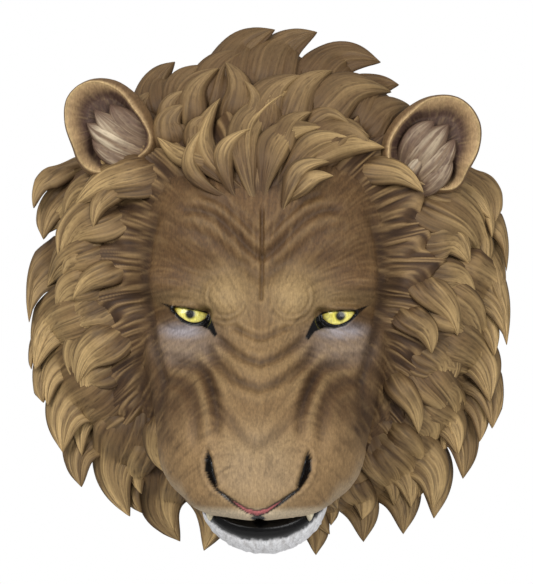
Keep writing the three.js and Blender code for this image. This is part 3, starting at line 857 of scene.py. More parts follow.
def make_keyhole(slot, start, stop):
    """One layer of the keyhole's cutter: a round hole with a slot above it."""
    z0, r, rise, n = KEYHOLE["z"], KEYHOLE["head"], KEYHOLE["rise"], 24
    side = math.asin(min(slot / r, 0.999))
    low = np.linspace(math.pi / 2 + side, math.pi / 2 - side + 2 * math.pi, n)
    high = np.linspace(0, math.pi, n // 2)
    outline = [(r * math.cos(t), r * math.sin(t)) for t in low]
    outline += [(slot * math.cos(t), rise + slot * math.sin(t)) for t in high]
    m = len(outline)
    points = [(x, d, z0 + z) for d in (start, stop) for x, z in outline]
    points += [(0, d, z0 + r / 2) for d in (start, stop)]
    k = np.arange(m)
    fans = np.concatenate([fan(2 * m, k, flip=True), fan(2 * m + 1, m + k)])
    return mesh_piece("keyhole_cutter", np.array(points), grid_faces(2, m, closed=True), fans)


def outward(piece):
    """Turns a closed piece's faces outward."""
    work = bmesh.new()
    work.from_mesh(piece.data)
    bmesh.ops.recalc_face_normals(work, faces=work.faces)
    work.to_mesh(piece.data)
    work.free()


def cut(piece, cutter):
    """Takes a closed cutter out of a piece."""
    outward(cutter)
    step = piece.modifiers.new("cut", "BOOLEAN")
    step.operation = "DIFFERENCE"
    step.solver = "MANIFOLD"
    step.object = cutter
    graph = bpy.context.evaluated_depsgraph_get()
    made = bpy.data.meshes.new_from_object(piece.evaluated_get(graph))
    piece.modifiers.clear()
    old = piece.data
    piece.data = made
    bpy.data.meshes.remove(old)
    bpy.data.objects.remove(cutter)


BASE_DROP = 5.5  # how far the casting lies under the face
EYE_ROOM = 7  # how far it lies behind the skin round the eyes


def make_base():
    """The casting under the locks: the form again, closed at the wall, hollow behind, with its keyhole."""
    (x0, _, z0), (wide, _, high) = DOME
    a, b, xw, zw = wall_points(np.linspace(-1, 1, 171), np.linspace(-1, 1, 187), (x0, z0), (wide, high))
    p, _ = ray_points(xw, zw)
    x, z = p[..., 0], p[..., 2]
    edge = np.maximum(np.abs(a), np.abs(b))
    (face_x, face_z), (face_wide, face_high) = FACE_PATCH
    from_face = np.sqrt(((xw - face_x) / face_wide) ** 2 + ((zw - face_z) / face_high) ** 2)
    under_face = smooth(0.99, 0.9, from_face)
    height = FUR.read(LONG_FUR, x, z) * 0.7 * (1 - under_face) * smooth(1, 0.94, edge)
    nostril = outline_distance(np.abs(x), z, NOSTRIL)
    height -= BASE_DROP * under_face + 6 * smooth(10, 3, nostril) * smooth(100, 130, p[..., 1])
    p = p + grid_normals(p) * height[..., None]
    eye = lids(x, z)
    skin, _ = lid_skin(x, z, eye)
    p[..., 1] = np.minimum(p[..., 1], mix(p[..., 1] + EYE_ROOM, skin, smooth(14, 4, eye)) - EYE_ROOM)
    p[..., 1] = np.maximum(p[..., 1], 0.3)
    rim = edge > 1 - 1e-6
    p[rim] = np.stack([xw[rim], np.zeros(rim.sum()), zw[rim]], -1)
    index = np.arange(a.size).reshape(a.shape)
    loop = np.concatenate([index[:, 0], index[-1, 1:], index[-2::-1, -1], index[0, -2:0:-1]])
    q = np.concatenate([p.reshape(-1, 3), [[0, 0, RAYS_FROM_Z]]])
    piece = mesh_piece("mane_base", q, grid_faces(*a.shape), fan(a.size, loop))
    outward(piece)
    cut(piece, make_hollow())
    cut(piece, make_keyhole(KEYHOLE["slot"], -2, KEYHOLE["deep"]))
    cut(piece, make_keyhole(KEYHOLE["head"] * 0.998, KEYHOLE["lip"], KEYHOLE["deep"]))
    q = carve_points(piece)
    fur = FUR.read(LONG_FUR, q[:, 0], q[:, 2])
    bare = np.maximum(smooth(-4, -8, form(q)), smooth(0.6, 0.2, q[:, 1]))  # in the hollow and on the wall
    c = coats(
        "fringe", (len(q),),
        ("deep", clamp(0.35 - fur * 0.6)),
        ("fringe_light", clamp(fur * 0.4)),
        ("resin", bare),
    )
    finish_piece(piece, c, np.zeros(len(q)))
    piece.data.set_sharp_from_angle(angle=math.radians(55))
    return piece


# Eyes.
IRIS_OFF = (-1.5, 3.0)  # the iris's middle from the pupil's


def make_eye(side):
    """One eyeball's front, with its iris and pupil, glossy."""
    (cx, cd, cz), radii = BALL
    turns, steps = 120, 70
    net = round_net((math.pi * 0.62) * np.linspace(0, 1, steps), turns)
    p = (net * np.array(radii) + np.array([side * cx, cd, cz])).reshape(-1, 3)
    back = [[side * cx, cd - 9, cz]]
    ends = fan(len(p), (steps - 1) * turns + np.arange(turns))
    name = "eye_left" if side < 0 else "eye_right"
    piece = mesh_piece(name, np.concatenate([p, back]), grid_faces(steps, turns, closed=True), ends)
    outward(piece)
    q = carve_points(piece)
    px, pz = EYES[side]["pupil"]
    a, b = q[:, 0] * side - px, q[:, 2] - pz
    r = np.hypot(a - IRIS_OFF[0], b - IRIS_OFF[1])
    angle = np.arctan2(b - IRIS_OFF[1], a - IRIS_OFF[0])
    ray = noise(angle * 14 + 50, r / 3, 31)
    c = coats(
        "yellow", (len(q),),
        ("yellow_pale", smooth(4, 9, r) * 0.5 * clamp(0.7 + 0.5 * ray)),
        ("yellow_edge", smooth(9.5, 12.5, r) * 0.8),
        ("yellow_edge", clamp(ray * 0.35) * smooth(3, 6, r)),
        # painted shade on the ball along the lids' edges
        ("yellow_edge", smooth(1.2, 0.0, -lids(q[:, 0], q[:, 2])) * 0.6),
        ("black", smooth(5.0, 2.4, np.hypot(a, b))),
    )
    return finish_piece(piece, c, np.full(len(q), 0.9), material=EYE_ENAMEL)


# The jaw and the fangs.
JAW = ((1, 84, -152), (47, 67, 41))
JAW_SQUARE = 2.5  # how square the chin is in side view
MOUTH_DEEP = 14  # how far the lower lip falls away behind its roll


def lip_border(ax):
    """Height at which the black lower lip meets the chin's fur."""
    return -179.5 + 15 * (ax / 39) ** 2.6


def chin_fur(x, z):
    """Strokes of the chin's fur, about -1 to 1."""
    return noise(x / 1.5 + noise(x / 7, z / 7, 4) * 1.5, z / 5 - np.abs(x) / 24, 41)


def make_jaw():
    """The chin and lower lip, under the upper lips."""
    centre, (wide, deep, high) = JAW
    turns, steps = 210, 130
    direction = round_net(math.pi * 0.95 * np.linspace(0.001, 1, steps) ** 1.15, turns)
    round_part = (direction[..., 0] / wide) ** 2 + (direction[..., 2] / high) ** 2
    flat_part = np.abs(direction[..., 1] / deep) ** JAW_SQUARE
    r = (round_part ** (JAW_SQUARE / 2) + flat_part) ** (-1 / JAW_SQUARE)
    p = direction * r[..., None] + np.array(centre)
    x, z = p[..., 0], p[..., 2]
    above = z - lip_border(np.abs(x - centre[0]))
    fur = chin_fur(x, z) * 0.5 + noise(x / 5, z / 14, 42) * 0.5
    height = np.where(above > 0, 0, fur * smooth(0, -4, above))
    height += 2.2 * bell(above - 5, 4.0) - 1.0 * bell(above + 0.5, 1.5)
    height -= MOUTH_DEEP * smooth(9, 18, above)
    p = p + direction * height[..., None]
    n = turns * steps
    k = np.arange(turns)
    fans = np.concatenate([fan(n, n - turns + k), fan(n + 1, k)])
    points = np.concatenate([p.reshape(-1, 3), [p[-1].mean(0), p[0].mean(0)]])
    piece = mesh_piece("jaw", points, grid_faces(steps, turns, closed=True), fans)
    outward(piece)
    q = carve_points(piece)
    x, z = q[:, 0], q[:, 2]
    above = z - lip_border(np.abs(x - centre[0]))
    grain = chin_fur(x, z)
    c = coats(
        "chin", (len(q),),
        ("chin_dark", clamp(0.15 - grain * 0.7)),
        ("black", smooth(-1.6, 1.2, above + 1.3 * grain)),
    )
    return finish_piece(piece, c, smooth(-0.5, 2, above))


def tube(points, radii, turns):
    """Rings of points round a line, for a closed tapering tube."""
    points = np.array(points, float)
    run = np.gradient(points, axis=0)
    run /= np.linalg.norm(run, axis=1, keepdims=True)
    across = np.cross(run, [0.0, 1.0, 0.0])
    across /= np.linalg.norm(across, axis=1, keepdims=True) + 1e-9
    up = np.cross(across, run)
    t = 2 * math.pi * np.arange(turns) / turns
    ring = np.cos(t)[None, :, None] * across[:, None] + np.sin(t)[None, :, None] * up[:, None]
    return points[:, None] + ring * np.asarray(radii)[:, None, None]


FANG = {"x": 36.0, "root": (136, -150), "tip": (139, -166), "radius": 4.2}  # root and tip: depth and z


def make_fangs():
    """The two upper fangs."""
    rings, turns = 20, 24
    (root_d, root_z), (tip_d, tip_z) = FANG["root"], FANG["tip"]
    d, z = np.linspace(root_d, tip_d, rings), np.linspace(root_z, tip_z, rings)
    radii = FANG["radius"] * (1 - ((z - root_z) / (tip_z - root_z)) ** 2) ** 0.6 + 0.02
    lines = [np.stack([np.full(rings, FANG["x"] * side), d, z], -1) for side in (1, -1)]
    q = np.concatenate([tube(line, radii, turns).reshape(-1, 3) for line in lines])
    faces = grid_faces(rings, turns, closed=True)
    piece = mesh_piece("fangs", q, np.concatenate([faces, faces + rings * turns]))
    c = coats("tooth", (len(q),), ("cheek", clamp(noise(q[:, 0] / 2, q[:, 2] / 3, 51)) * 0.4))
    return finish_piece(piece, c, np.full(len(q), 0.7))


# The mane's layers. Their locks start a depth "sink" under the skin and rise to "lift" and then, at the tip,
# to "curl" over it. "root" is the root's share of a lock's width, which is full from "spread" of its length
# on. "strand" is the width of a carved strand, and "shade" is how much painted shade darkens the layer, most
# for the back and the crown, which face away from the light.
LAYER_KEYS = ("sink", "lift", "curl", "thick", "root", "spread", "strand", "shade")
LAYERS = {name: dict(zip(LAYER_KEYS, values)) for name, values in {
    "back": (9, 5, 14, 11, 0.6, 0.4, 2.4, 0.3),
    "crown_back": (9, 4, 12, 15, 0.8, 0.4, 2.2, 0.8),
    "crown_middle": (8, 10, 15, 15, 0.8, 0.4, 2.2, 0.55),
    "middle": (9, 12, 15, 12, 0.55, 0.4, 2.3, 0.0),
    "brow": (4, 15, 17, 13, 0.6, 0.4, 2.0, 0.0),
    "front": (9, 8, 12, 9, 0.3, 0.4, 2.0, 0.0),
    "crown_front": (3, 8, 15, 14, 0.1, 0.75, 2.2, 0.15),
}.items()}
# Each lock is (root x, root z, tip x, tip z, width, bend), by layer from the wall forwards.
LOCKS = {
    "back": [
        (138, 95, 172, 52, 30, 0.14),
        (122, 66, 177, -14, 42, 0.1), (126, -34, 170, -104, 44, 0.1), (108, -66, 148, -142, 46, 0.1),
        (90, -88, 126, -172, 46, 0.08), (66, -108, 103, -184, 46, 0.06), (46, -118, 73, -190, 42, 0.02),
        (22, -143, 37, -200, 32, 0), (-76, -113, -66, -190, 50, -0.05), (-118, -82, -141, -149, 46, -0.06),
        (-149, -37, -170, -85, 38, -0.1), (-134, 42, -184, -24, 44, -0.1), (-130, 88, -170, 39, 40, -0.08)],
    "crown_back": [
        (-88, 104, -86, 150, 34, 0.12), (-76, 114, -70, 174, 44, 0.14), (-60, 118, -48, 170, 40, 0.14),
        (-48, 118, -14, 182, 44, 0.12), (-34, 128, 6, 198, 52, 0.12), (-8, 130, 38, 196, 52, 0.1),
        (22, 134, 86, 173, 50, 0.16), (50, 112, 100, 156, 44, 0.14), (66, 104, 108, 140, 34, 0.1)],
    "crown_middle": [
        (-8, 96, 27, 161, 40, 0.16), (14, 104, 50, 165, 32, 0.12), (22, 108, 94, 150, 44, 0.16),
        (26, 96, 80, 106, 34, 0.24), (-30, 112, -31, 172, 28, -0.14), (-56, 104, -35, 167, 34, 0.16),
        (-62, 98, -60, 139, 34, 0.2)],
    "middle": [
        (-93, 68, -155, 19, 46, -0.14), (-104, 38, -167, 3, 38, -0.1), (-116, 14, -158, -15, 34, -0.1),
        (-108, -4, -176, -60, 58, -0.14), (-104, -53, -155, -123, 58, -0.12),
        (-94, -74, -104, -171, 54, -0.1), (-50, -115, -48, -197, 42, 0.04),
        (-79, -104, -95, -154, 26, -0.1), (120, 34, 184, -41, 50, 0.1),
        (97, 79, 164, 10, 48, 0.16), (106, 6, 161, -52, 45, 0.14), (108, -24, 168, -84, 52, 0.14),
        (101, -44, 140, -112, 38, 0.1), (101, -74, 144, -124, 40, 0.1), (86, -96, 125, -165, 46, 0.1),
        (71, -104, 109, -164, 38, 0.08), (60, -134, 72, -173, 30, 0.04)],
    "brow": [
        (-60, 96, -144, 63, 40, -0.04), (56, 93, 118, 73, 26, 0.08), (-96, 88, -128, 47, 24, -0.1),
        (110, 84, 169, 53, 30, 0.1)],
    "front": [],
    "crown_front": [
        (-9, 85, -81, 115, 24, 0.05), (-5, 70, -33, 144, 32, 0.3), (7, 72, 66, 112, 30, 0.14),
        (13, 84, 90, 106, 26, 0.08), (2, 60, 45, 121, 36, 0.26), (-1, 58, 18, 149, 38, 0.24)],
}
LOCK_BELLY = 0.4  # how far a lock bulges on its underside, as a share of its upper side
LOCKS_FACE_FROM = 240  # how far under a lock the point lies that its upper side faces away from
TIP_END = 0.9985  # where a leaf of hair ends along its path, just before its width is 0
DRAWN_IN_FROM = 178  # how far out from the middle a lock may go freely


def lock_width(t, root, spread):
    """Share of a lock's width at places along it, for its outer side and for its inner side."""
    rise = mix(root, 1, smooth(0, spread, t))
    outer = 1 - clamp((t - 0.4) / 0.6) ** 2.6
    inner = 1 - clamp((t - 0.25) / 0.75) ** 1.35
    return rise * outer, rise * inner


def leaf(path, out, width, shares, outer, high, length, seed, strand):
    """A tapering leaf of hair round a path: its points, and what its paint follows.

    outer is the side it bends to. S runs across its upper side from -1 to 1, and T along it from 0 to 1.
    """
    share = sum(shares) / 2
    n = len(path)
    along = np.gradient(path, axis=0)
    along /= np.linalg.norm(along, axis=1, keepdims=True)
    across = np.cross(along, out)
    across /= np.linalg.norm(across, axis=1, keepdims=True)
    up = np.cross(across, along)
    t = np.linspace(0, 1, n)
    wave = noise(t * length / 16 + seed * 3.1, np.full(n, seed * 1.7), 85)
    S, T = np.meshgrid(np.linspace(-1, 1, int(width / 0.95) | 1), t, indexing="xy")

    def half_width(s):
        """Half the lock's width on the side that s is on."""
        return width / 2 * np.where(s * outer > 0, shares[0][:, None], shares[1][:, None])

    sway = 0.10 * np.sin(T * 5 + seed) * (1 - S * S)
    lean = (0.2 * outer + 0.2 * math.sin(seed * 2.4)) * smooth(0.1, 0.7, T)
    shifted = (S - lean) / np.where(S > lean, 1 - lean, 1 + lean)
    profile = clamp(1 - np.abs(shifted) ** 2.4) ** 0.62
    u = (S + sway) * width / strand / 2
    v = T * length / 46
    flute = noise(u * 0.42 + 5, v * 0.8 + seed, 55 + seed % 9)
    groove = noise(u + 9, v + seed, 60 + seed % 7)
    line = bell(groove, 0.16)
    hairs = bell(noise(u * 2.4 + 3, v * 1.3 + seed, 70 + seed % 5), 0.22)
    relief = 1.6 * flute + 0.4 * groove - 0.95 * line - 0.3 * hairs
    relief = relief * mix(0.55, 1, smooth(0, 0.3, T)) * (0.3 + 0.7 * np.sqrt(share)[:, None])
    relief *= smooth(0, 0.22, 1 - np.abs(S)) * strand / 3.0
    h = profile * high[:, None] + relief
    half = half_width(S) * (1 + 0.06 * wave[:, None])
    top = path[:, None] + across[:, None] * (S * half)[..., None] + up[:, None] * h[..., None]
    low_s = np.array([[0.7, 0.25, -0.25, -0.7]])
    low_h = LOCK_BELLY * high[:, None] * (1 - low_s**2) ** 0.5
    low_w = low_s * half_width(low_s)
    low = path[:, None] + across[:, None] * low_w[..., None] - up[:, None] * low_h[..., None]
    hair_top = np.stack(np.broadcast_arrays(u * 1.5, v * 1.6, seed * 3.7), -1)
    hair_low = np.stack(np.broadcast_arrays(low_s * width / strand, t[:, None], seed * 3.7), -1)
    return {"points": np.concatenate([top, low], 1), "hair": np.concatenate([hair_top, hair_low], 1),
            "low": low.shape, "S": S, "T": T, "inner": 1 - np.abs(shifted),
            "flute": flute, "groove": groove, "line": line, "hairs": hairs}


def lock_leaf(row, layer_name, seed):
    """One lock of the mane, seated on the form and curling off it at its tip."""
    root_x, root_z, tip_x, tip_z, width, bend = row
    setting = LAYERS[layer_name]
    sink, lift, curl = (setting[k] for k in ("sink", "lift", "curl"))
    run = np.array([tip_x - root_x, tip_z - root_z], float)
    length = np.hypot(*run)
    t = np.linspace(0, 1, int(length / 1.9) + 14) ** 0.92
    t[-1] = TIP_END
    outer = 1 if bend >= 0 else -1
    flat = bowed((root_x, root_z), (tip_x, tip_z), bend, t)
    sway = -width * 0.07 * outer * np.sin(math.pi * t) * np.sin(2 * math.pi * t)
    flat = flat + np.array([-run[1], run[0]]) / length * sway[:, None]
    x, z = flat.T
    ground = seat(x, z)
    if not layer_name.startswith("crown"):
        ground = np.minimum(ground, dome_depth(x, z))
    ground = evened(ground, np.hanning(15))
    shares = lock_width(t, setting["root"], setting["spread"])
    high = setting["thick"] * 0.55 * np.sqrt(sum(shares) / 2) * mix(0.3, 1.0, smooth(0, 0.5, t))
    rise = -sink + (lift + sink) * smooth(-0.05, 0.55, t) + (curl - lift) * smooth(0.5, 1, t)
    path = np.stack([x, ground + rise, z], -1)
    out = np.stack([x / LOCKS_FACE_FROM, np.ones(len(t)), z / LOCKS_FACE_FROM], -1)
    if layer_name == "front":
        lie = (1 - smooth(0.2, 0.8, t))[:, None]
        normal = lean_out(x, z)
        skin = np.stack([x, evened(seat(x, z), np.ones(9)), z], -1)
        path = mix(path, skin + normal * rise[:, None], lie)
        out = mix(out, normal, lie)
    made = leaf(path, out, width, shares, outer, high, length, seed, setting["strand"])
    # Nothing goes through the wall, and what goes far out is drawn in.
    points, S = made["points"], made["S"]
    columns = S.shape[1]
    points[:, :columns, 1] = np.maximum(points[:, :columns, 1], 1.5 + 3 * (1 - S**2))
    points[..., 1] = np.maximum(points[..., 1], 1.0)
    over = np.maximum(np.abs(points[..., 0]) - DRAWN_IN_FROM, 0)
    points[..., 0] -= np.sign(points[..., 0]) * over * 0.5
    return made


def lock_paint(made, seed, layer_name):
    """A lock's paint: painted shade at root, grooves and edges, painted highlight on crests and tip."""
    S, T, flute, groove, inner = (made[k] for k in ("S", "T", "flute", "groove", "inner"))
    x, z = (made["points"][:, :T.shape[1], k] for k in (0, 2))
    vary = noise(seed * 0.37, seed * 0.91, 80)
    root_end, root_dark = (0.65, 0.6) if layer_name == "front" else (0.42, 0.55)
    # Painted light: the outer locks on the left are painted lighter towards their tips, as if lit more from
    # the left.
    painted_light_left = smooth(-90, -125, x) * smooth(-140, -100, z) * smooth(20, -10, z)
    c = coats(
        "lock", T.shape,
        ("lock_dark", 0.14 + 0.15 * vary),
        # painted highlight on the crest, growing towards the tip
        ("lock_light", smooth(0.3, 1, T) * smooth(-0.15, 0.7, inner) * (0.75 + 0.25 * vary)),
        ("lock_light", 0.4 * painted_light_left * smooth(0.3, 0.7, T)),
        # the root takes the band's dark brown, with painted shade under the locks before it
        ("fringe", smooth(0.65, 0.2, T) * 0.8),
        ("deep", smooth(root_end, 0.1, T) * root_dark),
        # painted highlight on the flutes, painted shade in the grooves, the carved lines and along the edges
        ("lock_light", clamp(flute * 0.6 + groove * 0.3) * 0.6),
        ("lock_dark", clamp(-flute * 0.7 - groove * 0.3) * 0.9),
        ("deep", made["line"] * 0.52 + made["hairs"] * 0.22),
        ("deep", smooth(0.7, 1.0, np.abs(S)) * 0.5 * smooth(0.1, 0.5, T)),
        # the layer's painted shade
        ("lock_dark", LAYERS[layer_name]["shade"]),
    )
    # the underside is painted shade
    return np.concatenate([c, np.broadcast_to(PAINT["deep"], made["low"])], 1)


def tuft_paint(made, light):
    """Paint of a leaf of hair in an ear: painted shade at its edges, grooves and underside; darker at its
    tip.
    """
    S, T, groove = made["S"], made["T"], made["groove"]
    c = coats(
        "tuft", T.shape,
        ("tuft_light", smooth(0.1, 0.6, T) * light * clamp(0.5 + 0.8 * groove) * smooth(1.02, 0.8, T)),
        ("ear_dark", clamp(1 - light - 0.4 * groove) * 0.6),
        # painted shade in the carved grooves
        ("ear_dark", made["line"] * 0.6 + made["hairs"] * 0.3),
        # painted shade along the edges, and a darker tip
        ("ear_dark", np.maximum(smooth(0.6, 1, np.abs(S)) * 0.6, smooth(0.7, 1, T) * 0.75)),
    )
    # the underside is painted shade
    return np.concatenate([c, np.broadcast_to(PAINT["ear_dark"], made["low"])], 1)


def leaves_piece(name, leaves):
    """One piece from leaves of hair and their colours."""
    points, colours, hairs, quads, fans = [], [], [], [], []
    count = 0
    for made, c in leaves:
        p = made["points"]
        rows, columns = p.shape[:2]
        caps = count + rows * columns
        k = np.arange(columns)
        quads.append(grid_faces(rows, columns, closed=True) + count)
        fans += [fan(caps, count + k, flip=True), fan(caps + 1, caps - columns + k)]
        for kept, values in ((points, p), (colours, c), (hairs, made["hair"])):
            ends = [values[end].mean(0, keepdims=True) for end in (0, -1)]
            kept.extend([values.reshape(-1, 3), *ends])
        count = caps + 2
    piece = mesh_piece(name, np.concatenate(points), np.concatenate(quads), np.concatenate(fans))
    outward(piece)
    return finish_piece(piece, np.concatenate(colours), np.zeros(count), np.concatenate(hairs))


def companion(row, i):
    """A shorter lock beside another, filling the mane between."""
    root_x, root_z, tip_x, tip_z, width, bend = row
    run = np.array([tip_x - root_x, tip_z - root_z], float)
    way = 1 if i % 2 else -1
    aside = np.array([-run[1], run[0]]) / np.hypot(*run) * way * width * 0.4
    root = np.array([root_x, root_z]) + aside + run * 0.02
    tip = root + run * (0.7 + 0.1 * math.sin(i * 2.3)) + aside * 0.3
    return (*root, *tip, width * 0.62, bend + way * 0.05)


HAIRLINE_FROM = -20  # height of the point that the hair round the face spreads from


def hairline_rows(inset, reach, count, width, first, last):
    """Locks leaving the hairline outward and curling down, on both sides, as rows of the table above."""
    rows = []
    for side in (1, -1):
        for i in range(count):
            degrees = mix(first, last, (i + 0.5 * (side > 0)) / count)
            turn = math.radians(degrees)
            run = np.array([math.sin(turn), math.cos(turn)])
            reaches = np.linspace(40, 150, 400)
            r = np.interp(inset, hairline(reaches * run[0], HAIRLINE_FROM + reaches * run[1]), reaches)
            start = np.array([0, HAIRLINE_FROM]) + run * r
            jitter = math.sin(i * 5.1 + side)
            fall = smooth(-30, 60, degrees) * (46 + 9 * jitter) * (1 - 0.8 * smooth(90, 150, degrees))
            fall = math.radians(degrees + fall)
            length = reach * (1 + 0.2 * math.sin(i * 3.7 + side * 2))
            tip = start + np.array([math.sin(fall), math.cos(fall)]) * length
            wide = width * (1 + 0.15 * jitter)
            rows.append((start[0] * side, start[1], tip[0] * side, tip[1], wide, 0.2 * side))
    return rows


LOCKS["front"] = hairline_rows(6, 58, 8, 40, 44, 142)

# The band of carved hair round the face: how far outside the hairline it starts and ends, and how many
# degrees it goes round on each side. Its strands fall by "shear" on their way out. "clump" and "strand" are
# widths, and its tips are "tips" apart and "tip" long.
BAND = {"inner": -20, "outer": 30, "round": 148, "shear": 20,
        "clump": 12, "strand": 1.5, "tips": 24, "tip": 15}
BAND_FREE = 23  # how much further out it starts beside the muzzle
BAND_SUNK = 2.4  # how far its inner edge lies in the skin
BAND_RISE = 6.2  # how far it rises from there
BAND_TIP_RISE = 5  # how far its tips rise further
BAND_EDGE_FALL = 13  # how far its outer edge falls under the locks
BAND_END_FALL = 9  # how far its two ends fall


def make_band():
    """The carved hair that leaves the face all round, turns down and goes under the locks."""
    turn = np.radians(np.linspace(-BAND["round"], BAND["round"], 1080))
    v = np.linspace(0, 1, 34)[:, None]
    run = np.stack([np.sin(turn), np.cos(turn)], -1)
    reaches = np.linspace(40, 180, 420)
    edge = hairline(run[:, :1] * reaches, HAIRLINE_FROM + run[:, 1:] * reaches)
    at = np.abs(np.degrees(turn))
    starts = BAND["inner"] + BAND_FREE * smooth(98, 132, at)
    inner = np.array([np.interp(start, row, reaches) for row, start in zip(edge, starts)])
    outer = np.array([np.interp(BAND["outer"], row, reaches) for row in edge])
    inner, outer = (evened(k, np.hanning(31)) for k in (inner, outer))
    arc = np.cumsum((inner + outer) / 2) * (turn[1] - turn[0])
    arc -= arc[len(arc) // 2]
    falling = smooth(-30, 60, at) * (1 - 0.8 * smooth(100, 150, at)) * smooth(0, 14, at)
    shear = np.sign(turn) * BAND["shear"] * falling
    comb = (arc - shear) / BAND["tips"] + 0.35 * noise(arc / 40 + 9, 0, 97)
    tips = (1 - 2 * np.abs(comb % 1 - 0.5)) ** 1.3
    reach = mix(inner, outer + BAND["tip"] * (tips - 0.35), v)
    x, z = reach * run[:, 0], HAIRLINE_FROM + reach * run[:, 1]
    u = arc - shear * v**1.8
    clump = noise(u / BAND["clump"] + 60, v * 1.3, 94)
    strand = noise(u / BAND["strand"] + 200, v * 2.6, 95)
    fine = noise(u / 1.3 + 400, v * 5, 96)
    ends = smooth(BAND["round"], BAND["round"] - 22, at)
    height = -BAND_SUNK + BAND_RISE * smooth(0, 0.6, v) + BAND_TIP_RISE * tips * smooth(0.4, 0.85, v)
    height = height - BAND_EDGE_FALL * smooth(0.88, 1, v) - BAND_END_FALL * (1 - ends)
    height = height + smooth(0.1, 0.35, v) * (1.9 * clump * smooth(0.1, 0.6, v) + 0.85 * strand + 0.2 * fine)
    flat = x.ravel(), z.ravel()
    ground = np.stack([flat[0], FIELD.read(SOFT_FRONT, *flat), flat[1]], -1)
    p = ground + lean_out(*flat) * height.reshape(-1, 1)
    p[:, 1] = np.maximum(p[:, 1], 2)  # clear of the wall
    piece = mesh_piece("hair_band", p, grid_faces(*x.shape))
    outward(piece)
    c = coats(
        "fringe", x.shape,
        ("deep", 0.5),
        ("fringe_light", clamp(1.5 * strand + 0.3 * clump + 0.2 * fine) * mix(0.5, 0.85, v)),
        ("deep", clamp(-1.6 * strand - 0.5 * clump) * 0.85),
    )
    skin, _ = face_paint(x, z, np.ones(x.shape))
    c = mix(skin, c, smooth(0.16, 0.44, v)[..., None])
    hair = np.stack(np.broadcast_arrays(u / 1.6, v * 4, 0.0), -1).reshape(-1, 3)
    return finish_piece(piece, c.reshape(-1, 3), np.zeros(x.size), hair)


FILLED = ("back", "middle", "crown_middle", "crown_front")  # layers with a shorter lock beside each wide one
FILLED_FROM = 26  # width from which a lock gets one


def make_manes():
    """The mane's locks, in one piece each for the left, the right and the crown."""
    groups = {}
    seed = 0
    for layer_name, rows in LOCKS.items():
        if layer_name in FILLED:
            rows = rows + [companion(row, i) for i, row in enumerate(rows) if row[4] > FILLED_FROM]
        for row in rows:
            seed += 1
            side = "left" if row[0] < 0 else "right"
            side = "crown" if layer_name.startswith("crown") else side
            made = lock_leaf(row, layer_name, seed)
            groups.setdefault(f"mane_{side}", []).append((made, lock_paint(made, seed, layer_name)))
    for name, leaves in groups.items():
        leaves_piece(name, leaves)


# The ears. "outline", "crest" and "hollow" tell how far their outline, crest and hollow's edge lie from the
# middle, every 30 degrees from straight up towards the outer side.
EARS = {
    "left": {"x": -114.2, "z": 126.2, "depth": 58,
             "outline": (32.5, 36.5, 38.8, 36, 35.5, 43, 42, 38, 38, 31, 28, 28.5),
             "crest": (26.5, 34.5, 37.2, 34.4, 33.5, 39, 36, 32, 32.5, 23.5, 19, 21),
             "hollow": (17, 19.5, 21, 19, 20, 27, 29, 27, 26, 18, 14.5, 14.5)},
    "right": {"x": 124.7, "z": 106.7, "depth": 58,
              "outline": (39, 42.5, 40.7, 35.5, 32.5, 36.5, 33, 32, 38, 38.5, 36, 36),
              "crest": (36.5, 40.8, 39.0, 34, 30.5, 34, 29, 27, 33, 32, 29.5, 30),
              "hollow": (22.5, 26, 23, 18, 17.5, 22, 23, 21, 26, 25.5, 23, 23.5)},
}
EAR_DEEP = 13  # depth of the ear's hollow
EAR_LEAN = 24  # how far its back leans in to the mane
EAR_BACK = 48  # how far its back falls
EAR_LOW = 9  # how far the crest falls towards its lower end
TUFT_STRAND = 1.1
# The hair in each ear, from its middle: root, tip, width, bend, how light.
TUFTS = {
    "left": [((32, -10), (-2, 14), 20, 0.1, 0.2), ((32, -18), (-14, 10), 20, 0.1, 0.5),
             ((28, -24), (-20, 0), 20, 0.06, 0.7), ((22, -32), (-16, -12), 17, 0.08, 0.45)],
    "right": [((-20, -14), (2, 20), 20, 0.1, 0.3), ((-20, -24), (13, 18), 22, 0.04, 0.45),
              ((-16, -28), (17, 7), 20, -0.06, 0.6), ((-12, -32), (14, -6), 16, -0.12, 0.45),
              ((-20, -26), (-6, -6), 11, 0.04, 0.95)],
}


def ear_around(values, turn):
    """A value given every 30 degrees, read smoothly at any turn."""
    v = np.array(values, float)
    k = turn / (math.pi / 6)
    i = np.floor(k).astype(int)
    return through(*(v[(i + n) % 12] for n in (-1, 0, 1, 2)), k - i)


